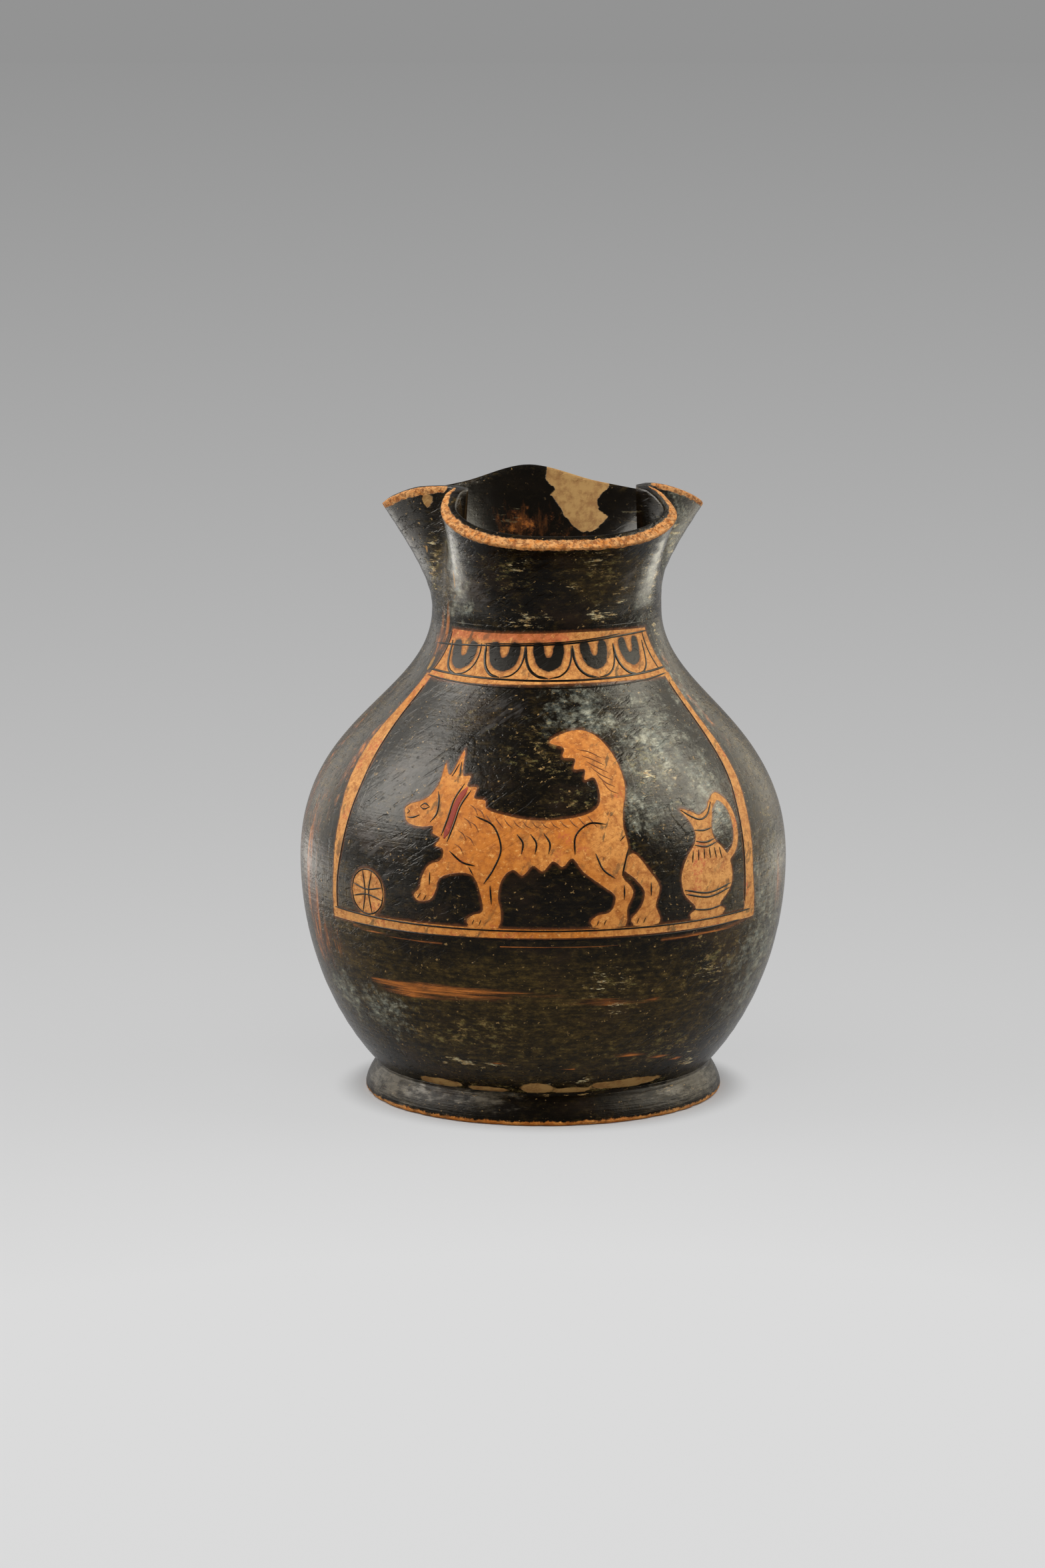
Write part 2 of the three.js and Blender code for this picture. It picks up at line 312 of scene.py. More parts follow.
class Shader:
    """One material; add() is the only way that a node gets in."""

    def __init__(self, name):
        self.material = bpy.data.materials.new(name)
        self.material.use_nodes = True
        self.tree = self.material.node_tree
        self.tree.nodes.clear()
        self.place = self.add("Mapping", None, {0: self.add("TexCoord", None, {}, "Object"),
                                                1: (0, -AXIS_Y, 0), 3: (1 / MM, 1 / MM, 1 / MM)})
        self.x, self.y, self.z = (self.add("SeparateXYZ", None, {0: self.place}, k) for k in (0, 1, 2))

    def add(self, kind, settings, values, output=0):
        """New node of a kind, its settings first, then the values or links of its sockets."""
        node = self.tree.nodes.new("ShaderNode" + kind)
        for key, setting in (settings or {}).items():
            setattr(node, key, setting)
        for key, value in values.items():
            if isinstance(value, Value):
                self.tree.links.new(value.socket, node.inputs[key])
            else:
                node.inputs[key].default_value = value
        return Value(self, node.outputs[output]) if len(node.outputs) else None

    def noise(self, scale, detail=4.0, roughness=0.55, stretch=None):
        """Cloudy pattern, scale in features per millimetre, about 0.5 in the middle."""
        vector = self.place
        if stretch:
            vector = self.add("VectorMath", {"operation": "MULTIPLY"}, {0: vector, 1: stretch})
        return self.add("TexNoise", None, {"Vector": vector, "Scale": scale, "Detail": detail,
                                           "Roughness": roughness})

    def slanted_noise(self, scale, slope, length, detail=3.0):
        """Streaks over the front that rise to the right by a slope in degrees and are drawn out along it."""
        turned = self.add("VectorRotate", {"rotation_type": "Y_AXIS"},
                          {"Vector": self.place, "Angle": math.radians(slope)})
        drawn = self.add("VectorMath", {"operation": "MULTIPLY"}, {0: turned, 1: (1 / length, 0.4, 1.0)})
        return self.add("TexNoise", None, {"Vector": drawn, "Scale": scale, "Detail": detail,
                                           "Roughness": 0.6})

    def mix(self, factor, a, b):
        """Colour a where the factor is 0, b where it is 1."""
        return self.add("Mix", {"data_type": "RGBA"}, {0: factor, 6: a, 7: b}, 2)

    def layers(self, base, *coats):
        """Base colour under coats laid on in turn, each a mask and the colour where the mask is 1."""
        for mask, shade in coats:
            base = self.mix(mask, base, shade)
        return base

    def field(self, name):
        """Value that the mesh holds at its points under a name."""
        return self.add("Attribute", {"attribute_name": name}, {}, "Fac")

    def torn(self, name, noise, raggedness, low, high):
        """Mask from a field at the points, its edge torn by noise: 0 at low and 1 at high."""
        return (self.field(name) + (noise - 0.5) * raggedness).step(low, high)

    def finish(self, colour, roughness, height, depth, ior=SLIP_IOR, coat=0.0):
        """Shader's end: colour and roughness, with height as bump, its unit a depth in millimetres."""
        normal = self.add("Bump", None, {"Strength": 1.0, "Distance": depth * MM, "Height": height})
        end = self.add("BsdfPrincipled", None, {
            "Base Color": colour, "Roughness": roughness, "Normal": normal, "IOR": ior,
            "Coat Weight": coat, "Coat Roughness": COAT_ROUGH})
        self.add("OutputMaterial", None, {"Surface": end})
        return self.material


def colour(red, green, blue):
    """Colour as it looks on screen, 0 to 255, turned into light."""
    def light(c):
        c /= 255
        return c / 12.92 if c <= 0.04045 else ((c + 0.055) / 1.055) ** 2.4
    return (light(red), light(green), light(blue), 1.0)


# Slip, what time has left on it with painted sheen and highlights among it, and the clay that shows where
# there is none
GLOSS_BLACK = colour(8, 5, 2)
GLOSS_BROWN = colour(46, 32, 20)
GLOSS_OLIVE = colour(96, 76, 34)
MOSS = colour(104, 96, 56)
# Grey of scuffed gloss, partly a painted sheen
SCUFFED_SHEEN = colour(84, 80, 77)
# Dusty grey of the foot, partly a painted sheen
FOOT_SCUFFED_SHEEN = colour(112, 102, 84)
# Green-grey crust and a bluer tone of it, partly painted highlight and sheen
PATINA_AND_HIGHLIGHT = colour(156, 154, 134)
PATINA_AND_HIGHLIGHT_BLUE = colour(104, 110, 102)
OCHRE = colour(150, 120, 74)
MISFIRED = colour(180, 106, 44)
MISFIRED_DARK = colour(96, 54, 28)
CLAY = colour(178, 106, 38)
CLAY_TAN = colour(188, 132, 72)
CLAY_PALE = colour(208, 152, 84)
CLAY_DEEP = colour(132, 70, 26)
CLAY_RED = colour(176, 84, 54)
ADDED_RED = colour(128, 52, 40)
LIP_CLAY = colour(188, 136, 82)
FLAKE = colour(152, 118, 70)
FLAKE_DEEP = colour(126, 90, 50)
SOOT = colour(60, 54, 38)
LIME = colour(200, 190, 150)

# Stretch that turns a cloud into streaks along the potter's wheel
WHEEL = (0.12, 0.12, 3.2)


def clay_colour(sh):
    """Bare fired clay: orange in the middle, tanner round it, with clouds, worn red places and soot."""
    cloud = sh.noise(0.14, 5).step(0.4, 0.68)
    grain = sh.noise(1.0, 6, 0.78).step(0.4, 0.64)
    red = sh.noise(0.2, 3).step(0.56, 0.7)
    fine = sh.noise(2.0, 4, 0.75).step(0.46, 0.62)
    pale = sh.noise(1.5, 4, 0.75, (1.0, 1.0, 1.2)).step(0.56, 0.66)
    pores = sh.slanted_noise(1.2, 62, 2.8).step(0.57, 0.64)
    tan = sh.x.step(-2, 18).max(sh.x.step(-19, -24)).max(sh.z.step(58, 62) * 0.8)
    blush = sh.z.step(66.6, 67.6) * sh.x.step(3, -1)
    return sh.layers(
        CLAY, (tan, CLAY_TAN), (cloud * 0.4, CLAY_PALE), (blush * 0.7, CLAY_RED), (grain * 0.75, CLAY_DEEP),
        (red * fine * 0.8, CLAY_RED), (pale * 0.75, CLAY_PALE), (pores * (0.15 + 0.6 * cloud), SOOT))


def gloss_colour(sh):
    """Black gloss slip: browner and olive where it is thin, with streaks from the wheel and pale specks."""
    thin = sh.noise(0.12, 5, 0.65, (0.8, 0.8, 1.5)).step(0.48, 0.72)
    streak = sh.noise(0.5, 6, 0.65, WHEEL).step(0.48, 0.7)
    grain = sh.noise(1.0, 7, 0.78, (0.6, 0.6, 1.3)).step(0.48, 0.8)
    speck = sh.noise(1.7, 3, 0.55).step(0.66, 0.72)
    return sh.layers(GLOSS_BLACK, (thin * 0.5, GLOSS_BROWN), (grain * (0.3 + streak * 0.4), GLOSS_OLIVE),
                     (speck * 0.7, OCHRE))


def stained_gloss(sh):
    """The body's gloss with its own marks, and masks of its dull crust with painted highlights and of its
    scuffs with painted sheen.
    """
    mottle = sh.noise(0.5, 8, 0.78)
    fleck = sh.noise(1.5, 5, 0.75, (0.8, 0.8, 1.2))
    veins = sh.noise(1.0, 7, 0.78, (0.6, 0.6, 1.2))
    drawn = sh.noise(0.8, 6, 0.75, (0.45, 0.45, 2.2))
    wheel = sh.noise(1.1, 6, 0.75, (0.08, 0.08, 2.2))
    brushed = sh.noise(0.5, 5, 0.7, (1.6, 1.6, 0.12))
    scratched = sh.slanted_noise(1.5, 33, 7.0, 5)
    brush = sh.slanted_noise(1.3, -68, 3.2, 5).step(0.38, 0.62)
    hairs = sh.slanted_noise(2.1, 24, 3.6, 5).step(0.42, 0.6)
    thinned = (0.1 + veins.step(0.4, 0.8)) * (0.35 + 0.65 * wheel.step(0.35, 0.65))
    hatched = 0.06 + 0.22 * brush + 0.25 * hairs + 0.3 * brush * hairs + 0.2 * veins.step(0.42, 0.58)
    olive = sh.torn("olive", mottle, 1.2, 0.0, 0.6) * thinned
    grime = sh.torn("grime", veins, 6.5, 0.95, 1.8)
    warm = sh.torn("warm", brushed, 2.6, 0.2, 1.1)
    # Grey laid where the lamps' sheen falls on the gloss, mostly on the upper left of the belly: scuffing and
    # painted sheen
    scuff_and_sheen = sh.torn("scuff_and_sheen", scratched, 4.0, 0.5, 1.5)
    # Green-grey crust whose pale colour is partly a painted sheen, and a painted highlight on the neck's
    # ridges
    bloom_and_highlight = sh.torn("patina_and_highlight", mottle, 4.0, 0.2, 1.2) * hatched
    streak = sh.torn("misfire", wheel, 2.8, 0.1, 1.1)
    # Pale flecks, which on the neck's ridges are painted highlights
    cream = sh.torn("cream", drawn, 5.0, 0.9, 1.25)
    stained = sh.layers(
        gloss_colour(sh),
        (olive, GLOSS_OLIVE),
        (grime * 0.7, sh.mix(drawn.step(0.45, 0.65), MOSS, OCHRE)),
        (warm * 0.7, sh.mix(brushed.step(0.5, 0.66), MISFIRED_DARK, MISFIRED)),
        (scuff_and_sheen * 0.4, SCUFFED_SHEEN),
        (bloom_and_highlight, sh.mix(drawn.step(0.42, 0.6), PATINA_AND_HIGHLIGHT, PATINA_AND_HIGHLIGHT_BLUE)),
        (bloom_and_highlight * fleck.step(0.6, 0.66), OCHRE),
        (streak * 0.9, sh.mix(streak * streak, MISFIRED_DARK, MISFIRED)),
        (cream * 0.85, sh.mix(fleck.step(0.4, 0.65), OCHRE, LIME)))
    return stained, bloom_and_highlight, scuff_and_sheen


def body_material():
    """Gloss slip outside and in, bare clay where it is reserved, worn or flaked."""
    sh = Shader("black_gloss_body")
    ragged = sh.noise(1.8, 4, 0.7)
    reserved = sh.torn("reserved", ragged, 0.16, 0.05, -0.05)
    fringe = sh.torn("reserved", ragged, 0.66, 0.5, 0.0)
    contour = sh.torn("reserved", ragged, 0.3, 1.8, 1.5)
    painted = sh.torn("painted", ragged, 0.3, 0.08, -0.06)
    halo = sh.torn("painted", ragged, 0.8, 0.45, 0.0)
    lip = sh.torn("bare_lip", sh.noise(0.9, 6, 0.75), 1.1, 0.1, -0.08)
    flake = sh.torn("flake", sh.noise(0.45, 6, 0.7), 1.1, 0.06, -0.06)
    polish = sh.torn("polish", sh.noise(0.8, 5, 0.7), 1.0, 0.0, 1.0)
    inside = sh.field("inside")
    burnt = sh.torn("warm", sh.noise(0.6, 6, 0.75), 3.4, 0.5, 1.4) * inside
    burnt_colour = sh.mix(sh.noise(1.4, 4, 0.7).step(0.45, 0.62), MISFIRED_DARK, MISFIRED)
    stained, bloom_and_highlight, scuff_and_sheen = stained_gloss(sh)
    # Inside, the gloss is laid near black over its marks: painted shade of the hollow
    gloss = sh.layers(stained, (inside * 0.85, GLOSS_BLACK), (burnt * 0.6, burnt_colour),
                      (fringe * 0.6, MISFIRED_DARK))
    clay = sh.layers(clay_colour(sh), (halo * 0.7, MISFIRED_DARK), (painted, GLOSS_BLACK))
    under = sh.mix(sh.noise(0.5, 6, 0.75).step(0.42, 0.62), FLAKE, FLAKE_DEEP)
    pits = sh.noise(1.7, 5, 0.75).step(0.48, 0.64)
    bare_lip = sh.layers(LIP_CLAY, (sh.noise(1.2, 5, 0.7).step(0.4, 0.66), CLAY), (pits * 0.85, CLAY_DEEP))
    surface = sh.layers(gloss, (reserved, clay), (flake, under), (lip, bare_lip))
    bare = (reserved * (1 - painted * 0.5)).max(lip).max(flake)
    rough = 0.2 + 0.12 * sh.noise(0.8, 5) + 0.48 * bare + 0.16 * bloom_and_highlight + 0.08 * scuff_and_sheen - 0.06 * inside
    scratches = sh.slanted_noise(1.3, 33, 10.0).step(0.54, 0.68)
    wheel_lines = sh.noise(0.9, 4, 0.6, (0.05, 0.05, 3.0))
    dimples = sh.noise(1.0, 2, 0.5).step(0.64, 0.74)
    height = sh.noise(0.9, 5, 0.66) * 0.42 + sh.noise(2.6, 2, 0.6) * 0.14 + wheel_lines * 0.3
    height = (height - scratches * 0.3 + contour * 0.12 - dimples * 0.3) * (1 - 0.7 * inside)
    height = height - bare * 0.25 - flake * 0.8 - lip * pits * 0.9
    return sh.finish(surface, rough, height, 0.13, SLIP_IOR, polish * 0.55)


def worn_gloss_material(name, low, high, lines):
    """Gloss slip that is worn to clay where the piece's own field "worn" falls from low to high."""
    sh = Shader(name)
    mask = sh.torn("worn", sh.noise(0.7, 6, 0.75), 1.6, low, high)
    fleck = sh.torn("cream", sh.noise(0.9, 5, 0.7, (0.5, 0.5, 2.2)), 4.0, 1.0, 1.3)
    # Dusty grey on the foot, partly a painted sheen where the lamps are mirrored
    dust = sh.torn("dust", sh.noise(1.0, 5, 0.7, (0.5, 0.5, 1.6)), 3.0, 0.1, 1.2)
    clay = sh.mix(sh.noise(1.7, 5, 0.75).step(0.45, 0.66) * 0.6, clay_colour(sh), CLAY_DEEP)
    surface = sh.layers(gloss_colour(sh), (0.4, GLOSS_BLACK), (mask, clay), (fleck * 0.8, OCHRE),
                        (dust * 0.42, FOOT_SCUFFED_SHEEN))
    rough = 0.28 + 0.35 * mask + 0.1 * sh.noise(0.7, 4)
    wheel_lines = sh.noise(1.7, 3, 0.6, (0.04, 0.04, 2.0)) * lines
    height = sh.noise(0.9, 6, 0.7) * 0.7 + wheel_lines - mask * 0.4
    return sh.finish(surface, rough, height, 0.12, FOOT_IOR, dust * lines * 0.18)


def slip_material(name, shade, worn_shade, roughness):
    """Painted strokes: one colour that thins to another in places."""
    sh = Shader(name)
    thin = sh.noise(0.8, 4, 0.7).step(0.5, 0.72)
    surface = sh.mix(thin * 0.7, shade, worn_shade)
    return sh.finish(surface, roughness + 0.1 * thin, sh.noise(2.0, 3), 0.03)


def line_distance(x, y, points):
    """Distance from a grid of places to a line through many points."""
    best = np.full(x.shape, 1e9)
    for (x0, y0), (x1, y1) in zip(points[:-1], points[1:]):
        dx, dy = x1 - x0, y1 - y0
        t = np.clip(((x - x0) * dx + (y - y0) * dy) / (dx * dx + dy * dy + 1e-12), 0, 1)
        best = np.minimum(best, np.hypot(x - x0 - t * dx, y - y0 - t * dy))
    return best


def shape_distance(x, y, points):
    """Signed distance to a closed outline, negative inside, where a ray crosses it an odd number of times."""
    x, y = np.broadcast_arrays(x, y)
    ring = np.vstack([points, points[:1]])
    crossings = np.zeros(x.shape, int)
    for (x0, y0), (x1, y1) in zip(ring[:-1], ring[1:]):
        if y0 != y1:
            crossings += ((y0 > y) != (y1 > y)) & (x < (x1 - x0) * (y - y0) / (y1 - y0) + x0)
    return line_distance(x, y, ring) * np.where(crossings % 2 == 1, -1, 1)


# The picture is drawn in millimetres: across from the panel's middle at the belly, and up from the floor
PICTURE_RADIUS = BELLY_RADIUS
DOG = np.array([
    (-21.7, 44.7), (-22.0, 45.5), (-21.2, 46.1), (-19.6, 46.6), (-18.3, 47.3), (-17.5, 48.5), (-17.2, 49.4),
    (-17.3, 51.6), (-16.2, 50.3), (-15.7, 50.2), (-14.7, 53.4), (-13.5, 50.2), (-12.2, 50.2), (-12.4, 48.9),
    (-10.7, 48.8), (-10.9, 47.5), (-9.0, 47.2), (-8.8, 46.3), (-6.0, 45.5), (-2.0, 44.9), (3.0, 45.0),
    (7.0, 45.8), (8.4, 46.9), (8.6, 48.6), (8.0, 50.2), (6.4, 49.9), (6.7, 51.2), (4.8, 51.3), (5.2, 52.5),
    (3.0, 52.8), (3.4, 53.8), (0.6, 54.6), (3.6, 55.7), (7.0, 56.0), (10.2, 54.9), (12.4, 52.2),
    (12.9, 48.8), (11.9, 45.9), (11.6, 43.8), (12.0, 41.0), (11.3, 38.8), (10.9, 37.2), (12.5, 35.0),
    (11.6, 32.6), (11.6, 30.6), (11.0, 30.2), (7.0, 30.2), (6.4, 31.0), (7.3, 31.8), (9.2, 32.3),
    (9.9, 34.4), (8.0, 36.0), (5.4, 38.0), (3.8, 39.9), (2.6, 38.7), (1.2, 39.5), (-0.2, 38.1),
    (-1.6, 38.9), (-3.0, 37.5), (-4.3, 38.3), (-5.7, 37.2), (-6.4, 34.6), (-6.0, 32.4), (-6.2, 30.5),
    (-6.8, 30.2), (-10.3, 30.2), (-10.9, 31.0), (-10.0, 31.8), (-8.6, 32.3), (-8.8, 34.6), (-9.9, 37.2),
    (-11.6, 37.6), (-14.9, 36.6), (-15.5, 34.7), (-16.4, 33.5), (-18.4, 33.3), (-18.9, 34.1), (-18.0, 34.9),
    (-17.6, 36.6), (-16.6, 38.3), (-14.7, 39.2), (-14.6, 40.6), (-15.9, 41.0), (-15.2, 42.0), (-16.5, 42.6),
    (-16.6, 43.5), (-18.4, 43.3), (-20.4, 43.5), (-21.3, 43.9)])
FAR_LEG = np.array([
    (11.0, 38.4), (12.9, 36.6), (14.2, 34.8), (13.8, 32.9), (13.0, 31.9), (12.2, 31.0), (12.9, 30.2),
    (16.3, 30.2), (16.7, 30.7), (15.9, 32.8), (16.5, 35.2), (15.0, 37.6), (12.6, 40.2)])
SMALL_JUG = np.array([
    (22.0, 30.2), (21.6, 30.9), (22.7, 31.6), (20.6, 33.8), (20.1, 36.4), (21.3, 39.0), (23.0, 40.9),
    (23.2, 42.4), (22.3, 44.1), (21.2, 45.4), (23.2, 44.9), (24.6, 44.3), (26.4, 44.9), (27.9, 46.1),
    (27.3, 44.2), (26.5, 42.4), (26.7, 40.9), (28.5, 39.0), (29.7, 36.4), (29.3, 33.8), (27.1, 31.6),
    (28.2, 30.9), (27.7, 30.2)])
JUG_HANDLE = [(27.4, 45.3), (29.3, 46.3), (31.2, 44.8), (31.6, 41.8), (30.6, 39.2), (28.9, 38.0)]
JUG_HANDLE_HALF = 0.5
BALL_PLACE, BALL_RADIUS = (-27.3, 33.4), 3.3

# Fine black lines of the picture
EYE = [[(-19.4, 45.9), (-18.8, 46.35), (-17.8, 45.95)], [(-19.4, 45.9), (-18.7, 45.6), (-17.8, 45.95)]]
MUZZLE = [[(-21.5, 45.4), (-21.1, 45.1), (-21.4, 44.8)], [(-21.3, 44.35), (-20.2, 44.4), (-19.2, 44.8)],
          [(-17.2, 44.0), (-16.4, 45.2), (-16.5, 46.9), (-17.0, 48.0)]]
EARS = [[(-15.4, 50.0), (-14.8, 51.6)], [(-14.1, 50.1), (-14.5, 51.8)]]
COLLAR_FRONT = [(-12.9, 49.2), (-14.0, 47.2), (-14.5, 44.6), (-15.1, 42.4)]
COLLAR_BACK = [(-11.6, 48.4), (-12.8, 46.4), (-13.4, 43.9), (-14.1, 41.6)]
SHOULDER = [[(-10.2, 45.2), (-7.2, 43.8), (-6.1, 41.0), (-7.0, 38.4), (-8.4, 36.2)],
            [(-13.6, 40.4), (-11.6, 39.0), (-9.7, 38.6)], [(-9.9, 37.3), (-10.6, 38.4)]]
RIBS = [[(x, 43.2 + 0.05 * x), (x + 0.9, 41.8), (x + 0.7, 40.4)] for x in (-3.9, -2.0, -0.1)]
HAUNCH = [[(4.3, 40.3), (4.4, 42.6), (6.4, 44.3), (9.0, 44.2)], [(11.7, 42.6), (10.9, 41.9)],
          [(7.2, 40.4), (8.2, 38.2), (9.9, 36.9)], [(10.9, 37.2), (11.4, 38.9), (12.0, 40.8)]]
SHINS = [[(11.2, 35.9), (11.2, 33.9)], [(15.2, 36.0), (15.2, 34.2)], [(-7.5, 36.0), (-7.3, 33.4)],
         [(-16.4, 37.3), (-16.4, 35.6)]]
TOES = [[(x, 30.45), (x + 0.3, 31.15)] for x in (-10.1, -9.1, 7.3, 8.3, 13.1, 14.1)]
TOES += [[(-18.3, 33.6), (-17.8, 34.3)], [(-17.3, 33.4), (-16.9, 34.1)]]
JUG_BANDS = [[(22.2, 31.5), (24.9, 31.2), (27.6, 31.5)], [(23.1, 40.9), (24.9, 40.6), (26.7, 40.9)],
             [(22.8, 40.4), (24.9, 40.0), (27.0, 40.4)], [(23.2, 42.4), (24.9, 42.2), (26.5, 42.4)],
             [(21.5, 45.2), (23.2, 44.2), (24.7, 43.7), (26.3, 44.2), (27.7, 45.7)],
             [(20.6, 34.4), (24.9, 33.6), (29.3, 34.4)], [(20.8, 33.8), (24.9, 33.0), (29.1, 33.8)]]
JUG_TONGUES = [[(x, 39.8 - 0.03 * (x - 24.9) ** 2), (24.9 + (x - 24.9) * 1.12, 38.4 - 0.05 * (x - 24.9) ** 2)]
               for x in np.linspace(22.4, 27.4, 6)]
PICTURE_LINES = (EYE + MUZZLE + EARS + [COLLAR_FRONT, COLLAR_BACK] + SHOULDER + RIBS + HAUNCH + SHINS + TOES
                 + JUG_BANDS + JUG_TONGUES)

# Thin brown strokes of fur: along the back, in the ruff and in the tail
FUR = [[(x, 44.7 + 0.012 * (x + 1) ** 2), (x + 0.5, 44.1 + 0.012 * (x + 1) ** 2), (x + 1.3, 43.8)]
       for x in np.linspace(-8.6, 6.4, 12)]
FUR += [[(x, z), (x + 0.9, z - 0.5), (x + 1.4, z - 1.3)] for x, z in (
    (-11.3, 46.6), (-10.2, 46.2), (-12.0, 44.9), (-10.9, 44.4), (-12.6, 43.2), (-11.4, 42.6), (-12.9, 41.4))]
FUR += [[(11.6 - 0.35 * k, 48.0 + 0.9 * k), (10.2 - 0.5 * k, 48.6 + 0.95 * k),
         (9.2 - 0.7 * k, 49.9 + 0.75 * k)] for k in range(6)]

# Egg pattern: each egg's middle and half width in degrees from the panel's middle, and how full its black is
EGGS = ((-42.3, 9.4, 1.25), (-20.4, 9.8, 1.25), (0.6, 10.7, 1.07), (22.4, 10.4, 1.04), (42.4, 9.4, 1.06))
EGG_BLACK = np.array([
    (-0.64, 66.1), (-0.55, 66.85), (-0.34, 66.95), (-0.2, 66.3), (-0.16, 65.5), (-0.05, 64.9),
    (0.06, 64.95), (0.16, 65.5), (0.2, 66.3), (0.36, 67.0), (0.56, 66.8), (0.63, 66.1), (0.58, 64.9),
    (0.37, 63.6), (0.0, 63.1), (-0.36, 63.6), (-0.58, 64.9)])
EGG_OUTLINE = [(-1.0, 66.75), (-0.98, 65.3), (-0.84, 63.9), (-0.5, 62.8), (-0.02, 62.42)]
BAND_RADIUS = 18.0
BAND_TOP, BAND_BOTTOM = 68.4, 61.65
BAND_MIDDLE_TURN, BAND_HALF_TOP, BAND_HALF_BOTTOM = 1.6, 54.8, 60.4
UPPER_LINE = [(-64, 65.95), (-31.5, 66.5), (12, 67.05), (38, 67.7), (57, 67.9)]
LOWER_LINE = [(-61, 62.55), (-20, 62.2), (10, 62.15), (40, 62.4), (62, 62.75)]
EDGE_LINE = [(-59, 61.75), (-20, 61.2), (12, 61.2), (40, 61.5), (60, 61.95)]

# Side stripes of the frame as height, turn and half width in millimetres, and the ground line
LEFT_STRIPE = open_curve([
    (29, -57, 0.6), (33, -56.7, 0.5), (38.7, -56, 0.9), (44, -56.2, 1.3), (49.5, -57.5, 1.8),
    (55, -59.5, 1.35), (60, -59, 0.8), (62, -58.5, 0.8)], 6)
RIGHT_STRIPE = open_curve([
    (29, 55.9, 1.35), (36, 55.2, 1.07), (44, 56.5, 1.15), (49.5, 58.5, 1.05), (55, 59, 0.75), (60, 60, 0.65),
    (62, 60.5, 0.7)], 6)
GROUND_TOP, GROUND_BOTTOM, GROUND_TURN = 30.02, 28.75, 0.6
GROUND_LINES = [[(-57, 30.15), (-30, 29.8), (0, 29.75), (30, 29.8), (56, 29.95)],
                [(-50, 28.6), (-25, 28.5), (5, 28.45), (32, 28.5), (52, 28.75)]]
BAND_ENDS = [[(-53.4, 67.9), (-55.0, 65.4), (-57.4, 62.6)], [(53.3, 67.9), (54.8, 65.2), (56.8, 62.6)]]

# Marks on the gloss, each with its turn, height, half width in degrees and half height in millimetres
# Green-grey crust; its marks at height 77 on the neck's ridges are painted highlights
PATINA_AND_HIGHLIGHT_MARKS = (
    (34, 54, 22, 10), (14, 58, 20, 5), (46, 46, 12, 10), (24, 46, 12, 6), (62, 60, 12, 8), (-60, 17, 14, 6),
    (66, 24, 20, 20), (-46, 16, 14, 5), (-49, 77, 13, 14), (55, 77, 12, 14), (96, 80, 16, 10),
    (112, 60, 14, 6), (-128, 30, 12, 7))
GRIME_MARKS = (
    (0, 54, 24, 7), (30, 52, 26, 12), (-26, 57, 18, 4), (8, 47, 14, 4), (18, 22, 18, 8), (44, 24, 20, 10),
    (-20, 14, 45, 8), (35, 11, 40, 6), (20, 40, 12, 10), (-20, 77, 30, 8), (25, 77, 34, 9),
    (66, 76, 26, 14), (-74, 76, 20, 12), (0, 5, 180, 3), (70, 40, 14, 20), (150, 40, 60, 24),
    (-100, 58, 40, 14), (-150, 70, 50, 12), (100, 72, 40, 10))
# Scuffing with a painted sheen: grey laid where the lamps are mirrored, above all on the upper left of the
# belly
SCUFF_AND_SHEEN_MARKS = (
    (-38, 50, 20, 9), (-44, 41, 12, 9), (-16, 58, 16, 3.5), (-34, 74, 10, 6), (76, 40, 12, 16),
    (-84, 52, 14, 12), (170, 62, 30, 7), (40, 75, 9, 6))
OLIVE_MARKS = (
    (0, 16, 80, 14), (-60, 22, 34, 18), (66, 26, 30, 22), (175, 18, 70, 13), (-60, 76, 24, 7),
    (30, 76, 30, 5), (84, 46, 26, 30), (-84, 44, 26, 28))
# Pale flecks; the narrow ones on the neck's ridges, from height 68 to 78, are painted highlights
CREAM_AND_HIGHLIGHT_MARKS = (
    (20, 79.0, 13, 2.2), (-12, 78.2, 9, 2.2), (-9, 80.4, 7, 1.0), (37, 73.4, 8, 3.2), (26, 71, 15, 2.2),
    (-10, 70.2, 26, 2.0), (12, 74.9, 6, 1.4), (62, 75, 9, 10), (66, 68, 7, 5), (50, 77, 4, 8),
    (-47, 78, 3.5, 8), (-76, 76, 7, 8), (98, 79, 12, 8), (-62, 70, 6, 4), (14, 22, 10, 4.5), (18, 17, 6, 4),
    (44, 22, 8, 3), (-20, 9, 26, 1.8), (8, 6.5, 16, 1.6), (50, 8, 10, 3), (30, 50, 12, 4))
POLISH_MARKS = ((-49, 77, 11, 11), (55, 77, 11, 11))
WARM_MARKS = (
    (-71, 36, 6, 14), (-69, 29, 9, 9), (73, 32, 6, 6), (-66, 24, 10, 6), (-63.5, 50, 3, 9), (-62, 67, 8, 5),
    (-82, 44, 5, 16), (66, 58, 3, 10))
OUTSIDE_MARKS = {"patina_and_highlight": PATINA_AND_HIGHLIGHT_MARKS, "grime": GRIME_MARKS, "scuff_and_sheen": SCUFF_AND_SHEEN_MARKS, "olive": OLIVE_MARKS,
                 "cream": CREAM_AND_HIGHLIGHT_MARKS, "warm": WARM_MARKS, "polish": POLISH_MARKS}

